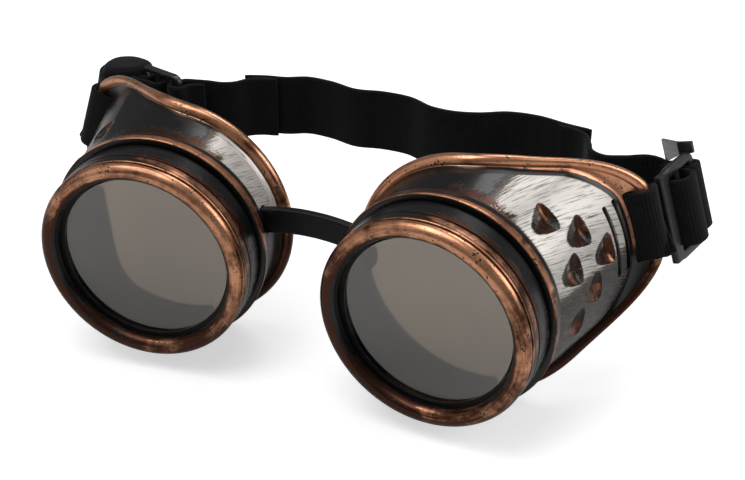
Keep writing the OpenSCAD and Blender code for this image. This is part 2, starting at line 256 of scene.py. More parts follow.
def rounded_box(
    half_a: float, half_b: float, radius: float, step: float, turns: int = 4
) -> Array:
    """Rectangle about the origin with round corners, from its two half lengths."""
    corners = [[-half_a, -half_b], [half_a, -half_b], [half_a, half_b], [-half_a, half_b]]
    return rounded_loop(np.array(corners), np.full(4, radius), step, turns)


def about_lens_axis(points: Array, degrees: float) -> Array:
    """Points turned about the lens axis, which is Y, from X towards Z."""
    t = np.radians(degrees)
    x, y, z = points[..., 0], points[..., 1], points[..., 2]
    return np.stack([x * np.cos(t) - z * np.sin(t), y, x * np.sin(t) + z * np.cos(t)], -1)


def revolve(section: Array, facets: int) -> Array:
    """Turns a section of radius and distance back about the lens axis, which is Y."""
    angle = np.linspace(0, 2 * np.pi, facets, endpoint=False)[:, None]
    r, s = section[None, :, 0], section[None, :, 1]
    return np.stack([r * np.cos(angle), s + 0 * angle, r * np.sin(angle)], -1)


def sweep(centres: Array, widths: Array, section: Array, closed: bool) -> Array:
    """Carries a section along a path.

    The section's first coordinate lies along the width direction and its second one along the
    normal, which is square to the path and to the width direction.

    Args:
        centres: Points of the path.
        widths: Width direction at each point.
        section: Outline of the section.
        closed: True if the path joins its own start.

    Returns:
        Grid of points, one row for each point of the path.
    """
    along = path_directions(centres, closed)
    across = widths - np.einsum("ij,ij->i", widths, along)[:, None] * along
    across /= np.linalg.norm(across, axis=1)[:, None]
    normal = np.cross(along, across)
    return (
        centres[:, None]
        + section[None, :, :1] * across[:, None]
        + section[None, :, 1:2] * normal[:, None]
    )


def flattened(grid: Array, path: Array, share: Array) -> Array:
    """Scales the thickness of swept webbing by a share at each point of its path.

    The part of each point's offset along the width direction stays, and the rest is scaled.

    Args:
        grid: Points of the webbing, one row for each point of its path.
        path: Rows of place and width direction.
        share: Share of the thickness that stays.

    Returns:
        The flattened grid.
    """
    offset = grid - path[:, None, :3]
    width = unit(path[:, 3:])[:, None]
    wide = (offset * width).sum(-1, keepdims=True) * width
    return path[:, None, :3] + wide + (offset - wide) * share[:, None, None]


def capped(grid: Array) -> Array:
    """Adds a row at each end that is collapsed onto the middle of the row beside it."""
    ends = [row.mean(0) + (row - row.mean(0)) * 1e-4 for row in (grid[0], grid[-1])]
    return np.concatenate([ends[:1], grid, ends[1:]])


def path_directions(centres: Array, closed: bool) -> Array:
    """Unit directions along a path, each from the point before to the point after."""
    if closed:
        step = np.roll(centres, -1, 0) - np.roll(centres, 1, 0)
    else:
        step = np.gradient(centres, axis=0)
    return step / np.linalg.norm(step, axis=1)[:, None]


def resample(stations: Array, step: float, closed: bool) -> Array:
    """Smooth curve through stations, at even steps.

    Between two stations each coordinate is a cubic whose slopes at the ends come from the
    neighbouring stations, weighed by the distances between them. The fine curve is then walked
    at equal lengths.

    Args:
        stations: Rows of numbers, of which the first three are the place.
        step: Distance between points of the result.
        closed: True if the last station joins the first one.

    Returns:
        Rows like the stations, at even steps.
    """
    work = np.concatenate([stations, stations[:1]]) if closed else stations
    gap = np.linalg.norm(np.diff(work[:, :3], axis=0), axis=1)
    knots = np.concatenate([[0], np.cumsum(gap)])
    slope = np.diff(work, axis=0) / gap[:, None]
    if closed:
        left, right = np.roll(slope, 1, 0), slope
        gap_left = np.roll(gap, 1)
        inner = (left * gap[:, None] + right * gap_left[:, None]) / (gap + gap_left)[:, None]
        tangent = np.concatenate([inner, inner[:1]])
    else:
        before, after = gap[:-1, None], gap[1:, None]
        mid = (slope[:-1] * after + slope[1:] * before) / (before + after)
        tangent = np.concatenate([slope[:1], mid, slope[-1:]])
    fine = np.linspace(0, knots[-1], max(200, int(knots[-1] / 0.1)) + 1)
    k = np.clip(np.searchsorted(knots, fine, "right") - 1, 0, len(gap) - 1)
    t = ((fine - knots[k]) / gap[k])[:, None]
    h = gap[k][:, None]
    curve = (
        (2 * t**3 - 3 * t**2 + 1) * work[k]
        + (t**3 - 2 * t**2 + t) * h * tangent[k]
        + (-2 * t**3 + 3 * t**2) * work[k + 1]
        + (t**3 - t**2) * h * tangent[k + 1]
    )
    walked = np.concatenate([[0], np.cumsum(np.linalg.norm(np.diff(curve[:, :3], axis=0), axis=1))])
    count = max(8, int(round(walked[-1] / step)))
    even = np.linspace(0, walked[-1], count + 1)
    if closed:
        even = even[:-1]
    return np.stack([np.interp(even, walked, curve[:, c]) for c in range(curve.shape[1])], -1)


def unit(v: Array) -> Array:
    """Vector or rows of vectors, each of length one."""
    return v / np.linalg.norm(v, axis=-1, keepdims=True)


def ramp(x: Array, low: float, high: float) -> Array:
    """Smooth step from 0 at low to 1 at high; low may be above high."""
    t = np.clip((x - low) / (high - low), 0, 1)
    return t * t * (3 - 2 * t)


# --------------------------------------------------------------------------- materials


def colour(hex_code: str) -> tuple[float, float, float, float]:
    """Linear colour of an sRGB hex code: each part above 0.04045 is ((c + 0.055) / 1.055)^2.4."""
    parts = np.array([int(hex_code[k : k + 2], 16) for k in (1, 3, 5)]) / 255
    linear = np.where(parts <= 0.04045, parts / 12.92, ((parts + 0.055) / 1.055) ** 2.4)
    return (float(linear[0]), float(linear[1]), float(linear[2]), 1.0)


def add(
    tree: bpy.types.NodeTree, kind: str, inputs: dict[Any, Any], **settings: Any
) -> bpy.types.Node:
    """Adds a node, with its settings, and sets or links its inputs.

    Args:
        tree: Node tree of a material or world.
        kind: Type name of the node, without the word ShaderNode before it.
        inputs: Values, output sockets or nodes by the input's name or number. A node stands for
            the first of its outputs that is in use.
        settings: Attributes of the node.

    Returns:
        The new node.
    """
    made = tree.nodes.new(f"ShaderNode{kind}")
    for key, value in settings.items():
        setattr(made, key, value)
    for key, value in inputs.items():
        if isinstance(value, bpy.types.Node):
            value = next(socket for socket in value.outputs if socket.enabled)
        if isinstance(value, bpy.types.NodeSocket):
            tree.links.new(value, made.inputs[key])
        else:
            made.inputs[key].default_value = value
    return made


def new_material(name: str) -> tuple[bpy.types.Material, bpy.types.NodeTree]:
    """Empty node material and its tree."""
    material = bpy.data.materials.new(name)
    material.use_nodes = True
    material.node_tree.nodes.clear()
    return material, material.node_tree


def per_mm(size: float) -> float:
    """Noise scale that gives features of about this size in millimetres."""
    return 1000.0 / size


def span(value: Any, levels: tuple[float, float]) -> dict[str, Any]:
    """Inputs that map a value from 0 at the first level to 1 at the second one."""
    return {"Value": value, "From Min": levels[0], "From Max": levels[1]}


def weighted(
    tree: bpy.types.NodeTree, first: Any, first_weight: float, second: Any, second_weight: float
) -> bpy.types.Node:
    """Sum of two values, each times its own weight; a weight of 1 needs no node.

    Args:
        tree: Node tree of a material.
        first: Node or socket.
        first_weight: What it is multiplied by.
        second: Node or socket.
        second_weight: What it is multiplied by.

    Returns:
        The node that adds them.
    """
    parts = [
        value if weight == 1 else add(tree, "Math", {0: value, 1: weight}, operation="MULTIPLY")
        for value, weight in ((first, first_weight), (second, second_weight))
    ]
    return add(tree, "Math", {0: parts[0], 1: parts[1]}, operation="ADD")


@dataclass(frozen=True)
class MetallicPaint:
    """Metallic acrylic paint over black plastic: bright where it lies thick, dark where thin."""

    thick: str
    thin: str
    roughness: float
    metallic: float
    full: float  # amount of paint at which the noise alone gives the tone
    tone: tuple[float, float]  # levels from the thin colour to the thick one


@dataclass(frozen=True)
class DryBrushedShell:
    """Black ABS, injection moulded, dry-brushed with silver and copper metallic paint.

    The brush leaves paint on what stands proud and in streaks along its strokes, so the black
    glossy plastic shows between them. The piece's fields silver and copper say how much of each
    paint the brush left, from 0 to 1, with painted light and shade mixed in on the eyecups and
    bezels, and its fields brush and brush_w place the strokes.
    """

    name: str = "dry_brushed_abs"
    plastic: str = "#0A0A0B"
    plastic_roughness: float = 0.27
    silver: MetallicPaint = MetallicPaint("#C2BDB8", "#4A443F", 0.4, 0.55, 0.84, (0.42, 0.64))
    copper: MetallicPaint = MetallicPaint("#D29673", "#44281C", 0.28, 0.88, 0.86, (0.4, 0.62))
    patch: float = 3.4  # size of the patches that a stroke misses, mm
    cloud: float = 10.0  # size of the clouds in which copper paint is thin, mm
    speck: float = 0.7  # size of the specks without copper paint, mm
    streaky: float = 0.6  # share of the streaks in the paint's broken edge; patches are the rest
    speckled: float = 0.55  # share of the specks in the copper's wear; patches are the rest
    amount_weight: float = 0.6  # how much the amount of paint adds to what is covered
    tone_weight: float = 0.9  # how much it adds to the tone
    covered: tuple[float, float] = (0.78, 0.86)  # levels from bare plastic to paint
    unworn: tuple[float, float] = (0.63, 0.56)  # levels from worn copper to whole copper

    def build(self) -> bpy.types.Material:
        """Makes the material.

        Streaks along the strokes and patches on the surface are added to one level. Where that
        level and the amount of paint together pass a threshold, the paint covers the plastic.

        Returns:
            The material, which reads the fields silver, copper, brush and brush_w.
        """
        material, tree = new_material(self.name)
        place = add(tree, "TexCoord", {}).outputs["Object"]
        brush = add(tree, "Attribute", {}, attribute_name="brush").outputs["Vector"]
        brush_w = add(tree, "Attribute", {}, attribute_name="brush_w").outputs["Fac"]
        streak = {"Vector": brush, "W": brush_w, "Scale": 1.0, "Detail": 4.0, "Roughness": 0.68}
        streaks = add(tree, "TexNoise", streak, noise_dimensions="4D")
        patches, specks, clouds = (
            add(
                tree, "TexNoise",
                {"Vector": place, "Scale": per_mm(size), "Detail": detail, "Roughness": 0.62},
            )
            for size, detail in ((self.patch, 5.0), (self.speck, 2.0), (self.cloud, 3.0))
        )
        rough = weighted(tree, streaks, self.streaky, patches, 1 - self.streaky)
        cloudy = weighted(tree, rough, 0.5, clouds, 0.5)
        clumps = weighted(tree, specks, self.speckled, patches, 1 - self.speckled)
        masks, tints = [], []
        paints = (("silver", self.silver, streaks), ("copper", self.copper, cloudy))
        for word, paint, grain in paints:
            amount = add(tree, "Attribute", {}, attribute_name=word).outputs["Fac"]
            level = weighted(tree, rough, 1.0, amount, self.amount_weight)
            masks.append(add(tree, "MapRange", span(level, self.covered), **SMOOTH))
            above = add(tree, "Math", {0: amount, 1: paint.full}, operation="SUBTRACT")
            tone = weighted(tree, grain, 1.0, above, self.tone_weight)
            share = add(tree, "MapRange", span(tone, paint.tone), **SMOOTH)
            colours = {0: share, 6: colour(paint.thin), 7: colour(paint.thick)}
            tints.append(add(tree, "Mix", colours, data_type="RGBA"))
        whole = add(tree, "MapRange", span(clumps, self.unworn), **SMOOTH)
        masks[1] = add(tree, "Math", {0: masks[1], 1: whole}, operation="MULTIPLY")
        base = colour(self.plastic)
        for mask, tint in zip(masks, tints):
            base = add(tree, "Mix", {0: mask, 6: base, 7: tint}, data_type="RGBA")
        metals = [
            add(tree, "Math", {0: mask, 1: paint.metallic}, operation="MULTIPLY")
            for mask, paint in zip(masks, (self.silver, self.copper))
        ]
        painted = add(tree, "Math", {0: masks[0], 1: masks[1]}, operation="MAXIMUM")
        metal = add(tree, "Math", {0: metals[0], 1: metals[1]}, operation="MAXIMUM")
        matt = add(tree, "Mix", {0: masks[1], 2: self.silver.roughness, 3: self.copper.roughness})
        relief = add(tree, "Math", {0: rough, 1: painted}, operation="ADD")
        bump = add(tree, "Bump", {"Strength": 0.3, "Distance": 0.1 * MM, "Height": relief})
        shader = add(
            tree, "BsdfPrincipled",
            {
                "Base Color": base,
                "Metallic": metal,
                "Roughness": add(tree, "Mix", {0: painted, 2: self.plastic_roughness, 3: matt}),
                "Normal": bump,
                "Specular IOR Level": 0.38,
            },
        )
        add(tree, "OutputMaterial", {"Surface": shader})
        return material


@dataclass(frozen=True)
class Brush:
    """Strokes of the paint brush: their usual length and width in millimetres."""

    length: float = 9.0
    width: float = 0.6
    drift: float = 0.02  # how fast the pattern changes along a straight stroke, per mm

    def round_axis(self, p: Array) -> tuple[Array, Array]:
        """Noise places, four numbers, for strokes round the lens axis.

        The place round the axis enters as a point of a circle, so the strokes have no seam.
        """
        r, length, width = np.hypot(p[:, 0], p[:, 2]), self.length, self.width
        return np.stack([p[:, 0] / length, p[:, 2] / length, r / width], -1), p[:, 1] / width

    def rearwards(self, p: Array, slant: float, radius: float) -> tuple[Array, Array]:
        """Noise places, four numbers, for strokes that run rearwards over a drum.

        Args:
            p: Points in the cup's frame.
            slant: Slant of the strokes, in degrees.
            radius: Radius of the drum, on which angles are measured as lengths.

        Returns:
            The first three numbers, and the fourth one.
        """
        arc, s = np.arctan2(p[:, 2], p[:, 0]) * radius, p[:, 1]
        c, n = np.cos(np.radians(slant)), np.sin(np.radians(slant))
        along, across = c * s - n * arc, c * arc + n * s
        places = np.stack([along / self.length, 0 * along, across / self.width], -1)
        return places, self.drift * along


@dataclass(frozen=True)
class SmokedLens:
    """Polycarbonate lens with a warm smoke-grey dye and a hard coat.

    The dye darkens what is seen through both faces. The coat's high index of refraction makes
    the faces mirror more of the surroundings than bare polycarbonate.
    """

    name: str = "coated_smoked_polycarbonate"
    dye: str = "#5B5146"
    roughness: float = 0.03
    ior: float = 2.0
    wipe: float = 9.0  # size of the wiping marks, mm

    def build(self) -> bpy.types.Material:
        """Makes the material; soft noise in the roughness stands for wiping marks."""
        material, tree = new_material(self.name)
        place = add(tree, "TexCoord", {}).outputs["Object"]
        haze = add(tree, "TexNoise", {"Vector": place, "Scale": per_mm(self.wipe), "Detail": 4.0})
        low, high = self.roughness, self.roughness * 2.5
        rough = add(tree, "MapRange", {"Value": haze, "To Min": low, "To Max": high})
        shader = add(
            tree, "BsdfPrincipled",
            {
                "Base Color": colour(self.dye),
                "Roughness": rough,
                "IOR": self.ior,
                "Transmission Weight": 1.0,
            },
        )
        add(tree, "OutputMaterial", {"Surface": shader})
        return material


@dataclass(frozen=True)
class MouldedRubber:
    """Black rubber, compression moulded and slightly oily, so it has a soft wide gloss."""

    name: str = "black_rubber"
    base: str = "#08080A"
    dust: str = "#141416"
    roughness: float = 0.42
    dusty: tuple[float, float] = (0.45, 0.75)  # noise levels from clean to dusty
    dust_size: float = 3.0  # mm
    grain: float = 0.35  # of the mould, mm

    def build(self) -> bpy.types.Material:
        """Makes the material: dust in patches and a fine moulding grain."""
        material, tree = new_material(self.name)
        place = add(tree, "TexCoord", {}).outputs["Object"]
        patches, grain = (
            add(tree, "TexNoise", {"Vector": place, "Scale": per_mm(size), "Detail": detail})
            for size, detail in ((self.dust_size, 5.0), (self.grain, 2.0))
        )
        dusty = add(tree, "MapRange", span(patches, self.dusty), **SMOOTH)
        tint = {0: dusty, 6: colour(self.base), 7: colour(self.dust)}
        base = add(tree, "Mix", tint, data_type="RGBA")
        rough = add(tree, "Mix", {0: dusty, 2: self.roughness, 3: self.roughness + 0.15})
        bump = add(tree, "Bump", {"Strength": 0.2, "Distance": 0.05 * MM, "Height": grain})
        shader = add(
            tree, "BsdfPrincipled",
            {"Base Color": base, "Roughness": rough, "Normal": bump, "Specular IOR Level": 0.2},
        )
        add(tree, "OutputMaterial", {"Surface": shader})
        return material


@dataclass(frozen=True)
class SatinPlastic:
    """Black acetal slider, injection moulded, satin with rubbed edges and fine scuffs."""

    name: str = "satin_acetal"
    base: str = "#1B1B1D"
    scuff: str = "#37373B"
    roughness: float = 0.27
    scuff_width: float = 0.6  # drawn twice as wide as real scuffs, which are finer than a pixel, mm
    scuffed: tuple[float, float] = (0.58, 0.72)  # noise levels from whole to scuffed
    mottle: float = 2.5  # size of the soft mottling, mm

    def build(self) -> bpy.types.Material:
        """Makes the material: thin scuffs drawn out along one direction, and a soft mottling."""
        material, tree = new_material(self.name)
        place = add(tree, "TexCoord", {}).outputs["Object"]
        drawn_out = {"Vector": place, "Rotation": (0.4, 0.2, 0.5), "Scale": (0.08, 1.0, 1.0)}
        lines = add(tree, "Mapping", drawn_out)
        scuffs, mottle = (
            add(tree, "TexNoise", {"Vector": at, "Scale": per_mm(size), "Detail": detail})
            for at, size, detail in ((lines, self.scuff_width, 3.0), (place, self.mottle, 4.0))
        )
        mask = add(tree, "MapRange", span(scuffs, self.scuffed), **SMOOTH)
        tint = {0: mask, 6: colour(self.base), 7: colour(self.scuff)}
        base = add(tree, "Mix", tint, data_type="RGBA")
        low, high = self.roughness - 0.06, self.roughness + 0.16
        rough = add(tree, "MapRange", {"Value": mottle, "To Min": low, "To Max": high})
        bump = add(tree, "Bump", {"Strength": 0.15, "Distance": 0.04 * MM, "Height": scuffs})
        shader = add(
            tree, "BsdfPrincipled",
            {"Base Color": base, "Roughness": rough, "Normal": bump, "IOR": 1.48},
        )
        add(tree, "OutputMaterial", {"Surface": shader})
        return material


@dataclass(frozen=True)
class NickelPlate:
    """Nickel-plated steel, stamped, with fine wiping scratches."""

    name: str = "nickel_plated_steel"
    metal: str = "#C9CBC8"
    roughness: float = 0.24
    scratch: float = 0.4  # drawn wider than real scratches, which are finer than a pixel, mm

    def build(self) -> bpy.types.Material:
        """Makes the material: scratches along X change roughness and height."""
        material, tree = new_material(self.name)
        place = add(tree, "TexCoord", {}).outputs["Object"]
        lines = add(tree, "Mapping", {"Vector": place, "Scale": (0.1, 1.0, 1.0)})
        noise = {"Vector": lines, "Scale": per_mm(self.scratch), "Detail": 3.0}
        scratches = add(tree, "TexNoise", noise)
        low, high = self.roughness - 0.1, self.roughness + 0.1
        rough = add(tree, "MapRange", {"Value": scratches, "To Min": low, "To Max": high})
        bump = add(tree, "Bump", {"Strength": 0.1, "Distance": 0.03 * MM, "Height": scratches})
        shader = add(
            tree, "BsdfPrincipled",
            {"Base Color": colour(self.metal), "Metallic": 1.0, "Roughness": rough, "Normal": bump},
        )
        add(tree, "OutputMaterial", {"Surface": shader})
        return material


@dataclass(frozen=True)
class ElasticWebbing:
    """Black knitted polyester elastic, 20 mm wide: cross ribs with fine yarns along it.

    The field cloth holds the place along the webbing and across it, in millimetres.
    """

    name: str = "black_elastic"
    yarn: str = "#060607"
    # painted highlight on the crests of ribs and yarns, the same colour as the lint patches
    lit_yarn: str = "#18181C"
    rib: float = 0.85  # mm; ribs and yarns are drawn about twice as coarse as real ones,
    yarn_pitch: float = 1.0  # mm; which would be finer than a pixel
    rib_share: float = 0.65  # of the height; yarns are the rest
    lint: float = 1.6  # size of the patches of lint, mm
    lit: tuple[float, float] = (0.35, 0.95)  # levels from the dark to the lit yarn
    sheen: float = 0.04

    def build(self) -> bpy.types.Material:
        """Makes the material: ribs and yarns as sine waves in height, lighter in colour on their
        crests as a painted highlight, and some lint.
        """
        material, tree = new_material(self.name)
        cloth = add(tree, "Attribute", {}, attribute_name="cloth").outputs["Vector"]
        parts = add(tree, "SeparateXYZ", {0: cloth})
        waves = []
        for axis, pitch in ((0, self.rib), (1, self.yarn_pitch)):
            turns = {0: parts.outputs[axis], 1: 2 * np.pi / pitch}
            phase = add(tree, "Math", turns, operation="MULTIPLY")
            sine = add(tree, "Math", {0: phase, 1: 0.0}, operation="SINE")
            waves.append(add(tree, "Math", {0: sine, 1: 0.5, 2: 0.5}, operation="MULTIPLY_ADD"))
        height = weighted(tree, waves[0], self.rib_share, waves[1], 1 - self.rib_share)
        place = add(tree, "TexCoord", {}).outputs["Object"]
        fluff = {"Vector": place, "Scale": per_mm(self.lint), "Detail": 6.0, "Roughness": 0.7}
        # painted highlight: lighter colour on the crests of ribs and yarns, added to the real lint
        # patches
        light = weighted(tree, height, 0.45, add(tree, "TexNoise", fluff), 0.6)
        share = add(tree, "MapRange", span(light, self.lit), **SMOOTH)
        tint = {0: share, 6: colour(self.yarn), 7: colour(self.lit_yarn)}
        bump = add(tree, "Bump", {"Strength": 0.4, "Distance": 0.12 * MM, "Height": height})
        shader = add(
            tree, "BsdfPrincipled",
            {
                "Base Color": add(tree, "Mix", tint, data_type="RGBA"),
                "Roughness": 0.92,
                "Normal": bump,
                "Sheen Weight": self.sheen,
                "Sheen Roughness": 0.5,
                "Specular IOR Level": 0.15,
            },
        )
        add(tree, "OutputMaterial", {"Surface": shader})
        return material


# --------------------------------------------------------------------------- places


@dataclass(frozen=True)
class CupPlace:
    """Where an eyecup stands: its lens axis, its toe-in, and the shift of the row frame.

    In the cup's own frame X points outwards, Y back along the lens axis and Z up, and the origin
    is at the middle of the bezel's bead.
    """

    side: Side
    lens_spacing: float = 82.0
    toe_in: float = 6.0
    mid_y: float = 41.4377
    ground: float = 34.6635

    def to_row(self, local: Array) -> Array:
        """Turns points by the toe-in, moves them to the lens centre and mirrors the left side."""
        c, s = np.cos(np.radians(self.toe_in)), np.sin(np.radians(self.toe_in))
        x, y, z = local[..., 0], local[..., 1], local[..., 2]
        right, back = x * c + y * s + self.lens_spacing / 2, -x * s + y * c - self.mid_y
        out = np.stack([right, back, z + self.ground], -1)
        out[..., 0] *= self.side.value
        return out

    def direction(self, local: Array) -> Array:
        """Row directions of vectors in the cup's own frame."""
        return self.to_row(local) - self.to_row(np.zeros(3))

    def to_local(self, row: Array) -> Array:
        """Undoes to_row."""
        c, s = np.cos(np.radians(self.toe_in)), np.sin(np.radians(self.toe_in))
        x = row[..., 0] * self.side.value - self.lens_spacing / 2
        y, z = row[..., 1] + self.mid_y, row[..., 2] - self.ground
        return np.stack([x * c - y * s, x * s + y * c, z], -1)

    def shift(self, x: Array, y: Array, z: Array) -> Array:
        """Points given from the middle between the lenses, in the row frame."""
        return np.stack(np.broadcast_arrays(x, y - self.mid_y, z + self.ground), -1).astype(float)


# --------------------------------------------------------------------------- eyecups


@dataclass
class CupShape:
    """Sizes and rim lines of the flared eyecup, by the angle from the tail's middle."""

    cup_wall: float = 2.2
    cup_front_r: float = 30.6
    panel_slope: float = 0.2
    rim_depth: float = 28.0
    tail_depth: float = 28.4
    rim_nose_r: float = 32.0
    rim_swell: float = 3.6
    tail_reach: float = 7.7
    tail_angle: float = 18.0
    tail_half: float = 14.0
    rim_bead: float = 1.9
    flange_w: float = 4.5
    flange_tail: float = 2.5
    ridge_r: float = 31.7
    ridge_len: float = 4.4
    skirt_len: float = 10.9
    collar_r: float = 28.0
    bore_r: float = 25.6
    collar_s: float = 4.9
    web_t: float = 1.5
    web_gap: float = 0.3
    panel_gap: float = 0.35  # from the ridge's rear to the start of the straight panel
    flange_end: tuple[float, float] = (0.35, 0.93)  # end of the flange's curve, in bead radii
    flange_pull: tuple[float, float] = (0.12, 0.72)  # its handle, in shares of its reach

    @property
    def ridge_s(self) -> float:
        """Front of the ridge, as a distance behind the bead's plane."""
        return self.skirt_len + 0.5

    @property
    def ridge_end(self) -> float:
        """Rear of the ridge."""
        return self.ridge_s + self.ridge_len

    @staticmethod
    def fall(d: Array, width: float) -> Array:
        """Falls as a raised cosine from 1 at 0 to 0 at the width."""
        return np.where(np.abs(d) < width, (1 + np.cos(np.pi * d / width)) / 2, 0.0)

    @staticmethod
    def past(d: Array) -> Array:
        """How far an angle is beyond 4 degrees from the middle."""
        return np.maximum(0, np.abs(d) - 4)

    @staticmethod
    def turn(d: Array) -> Array:
        """The same angle between -180 and 180 degrees."""
        return (np.asarray(d, float) + 180) % 360 - 180

    def round_tail_r(self, d: Array) -> Array:
        """Radius of the rim before its tail is cut straight: swell plus the tail's reach."""
        swell = self.rim_swell * ((1 + np.cos(np.radians(d))) / 2) ** 1.5
        return self.rim_nose_r + swell + self.tail_reach * self.fall(self.past(d), 50)

    def round_tail_s(self, d: Array) -> Array:
        """Distance back of the rim before its tail is cut straight."""
        share = self.fall(self.past(d), 76) / self.fall(self.past(np.array(self.tail_half)), 76)
        return self.rim_depth + self.tail_depth * share

    @property
    def tail_x(self) -> float:
        """Distance of the straight tail end from the lens axis."""
        radius = self.round_tail_r(np.array(self.tail_half))
        return float(radius * np.cos(np.radians(self.tail_half)))

    @property
    def tail_s(self) -> float:
        """Distance back of the straight tail end."""
        return float(self.round_tail_s(np.array(self.tail_half)))

    def _soft(self, line: Any, d: Array, width: float = 1.3) -> Array:
        """Mean of a line over nearby angles with bell-shaped weights, which rounds its corners."""
        steps = np.linspace(-2.5, 2.5, 11)
        weights = np.exp(-(steps**2) / 2)
        total = sum(w * line(self.turn(d + k * width)) for k, w in zip(steps, weights))
        return total / weights.sum()

    def rim_r(self, d: Array) -> Array:
        """Radius of the rim bead's line, with a straight tail end and rounded corners."""

        def line(a: Array) -> Array:
            straight = self.tail_x / np.cos(np.radians(np.clip(a, -60, 60)))
            return np.where(np.abs(a) < self.tail_half, straight, self.round_tail_r(a))

        return self._soft(line, d)

    def rim_s(self, d: Array) -> Array:
        """Distance back of the rim bead's line."""

        def line(a: Array) -> Array:
            return np.where(np.abs(a) < self.tail_half, self.tail_s, self.round_tail_s(a))

        return self._soft(line, d)

    def panel_r(self, s: Array) -> Array:
        """Outer radius of the side panel at a distance back."""
        return self.cup_front_r + self.panel_slope * (s - self.ridge_end)

    def wall_line(self, s: Array, d: Array) -> Array:
        """Outer radius of the panel as built, straight from the ridge's foot to the flange."""
        start = self.ridge_end + self.panel_gap
        share = (s - start) / (self.edge_s(d) - start)
        return self.cup_front_r + (self.edge_r(d) - self.cup_front_r) * share

    def edge_s(self, d: Array) -> Array:
        """Distance back at which the flange starts."""
        return self.rim_s(d) - self.flange_w - self.flange_tail * self.fall(self.turn(d), 70)

    def edge_r(self, d: Array) -> Array:
        """Radius at which the flange starts."""
        return np.minimum(self.panel_r(self.edge_s(d)), self.rim_r(d) - 1.5)

    def flange_curve(
        self, r1: Array, s1: Array, r2: Array, s2: Array
    ) -> tuple[Array, Array, Array]:
        """Start, handle and end of the flange's curve of second degree.

        Args:
            r1: Radius at which the flange starts.
            s1: Distance back at which it starts.
            r2: Radius of the rim bead's line.
            s2: Distance back of that line.

        Returns:
            Three points or rows of points, radius and distance back.
        """
        off_r, off_s = self.flange_end
        pull_r, pull_s = self.flange_pull
        end = np.stack([r2 - off_r * self.rim_bead, s2 - off_s * self.rim_bead], -1)
        handle = np.stack([r1 + pull_r * (r2 - r1), s1 + pull_s * (end[..., 1] - s1)], -1)
        return np.stack([r1, s1], -1), handle, end

    def inner_corner_r(self) -> float:
        """Radius of the inner wall behind the strap slot, a wall's thickness inside the flange."""
        r2, s2 = float(self.round_tail_r(np.array(self.tail_half))), self.tail_s
        swing = float(self.fall(np.array(self.tail_half), 70))
        s1 = s2 - self.flange_w - self.flange_tail * swing
        r1 = min(self.cup_front_r + self.panel_slope * (s1 - self.ridge_end), r2 - 1.5)
        o, k, e = self.flange_curve(*(np.array(v) for v in (r1, s1, r2, s2)))
        t = 0.62  # share of the curve at which the webbing leaves the cup
        g = unit((1 - t) * (k - o) + t * (e - k))
        at = (1 - t) ** 2 * o + 2 * t * (1 - t) * k + t**2 * e
        return float(at[0] - self.cup_wall * g[1])


@dataclass(frozen=True)
class Brushing:
    """Where one cup was brushed by hand: angles about the lens axis in degrees, shares 0 to 1."""

    silver_middle: float = 42.0
    silver_half: float = 42.0
    silver: float = 0.96
    silver_over: float = 0.0  # how far the silver runs on over the flange
    streak_middle: float = 76.0
    streak_half: float = 26.0
    ridge_middle: float = 25.0
    flange_start: float = 0.55  # share of the flange's width at which its copper starts
    flange_low: float = -0.05
    flange_copper: float = 1.0
    slant: float = 19.0
    streak_copper: float = 0.62
    low_middle: float = -25.0  # middle of the thin paint low on the panel
    low_copper: float = 0.34
    low_silver: float = 0.44
    side_silver: float = 0.5
    flange_silver: float = 0.3
    vent_copper: float = 0.82
    vent_silver: float = 0.78

    @staticmethod
    def near(phi: Array, middle: float, half: float) -> Array:
        """Share that is 1 near an angle and falls to 0 at a half width from it."""
        return ramp(np.abs(CupShape.turn(phi - middle)), half, 0.6 * half)


BRUSHING = {
    Side.RIGHT: Brushing(),
    Side.LEFT: Brushing(
        silver_middle=143, silver_half=40, silver_over=0.5, streak_middle=95, streak_half=45,
        ridge_middle=120, flange_start=0.95, flange_copper=0.6, slant=-25,
    ),
}


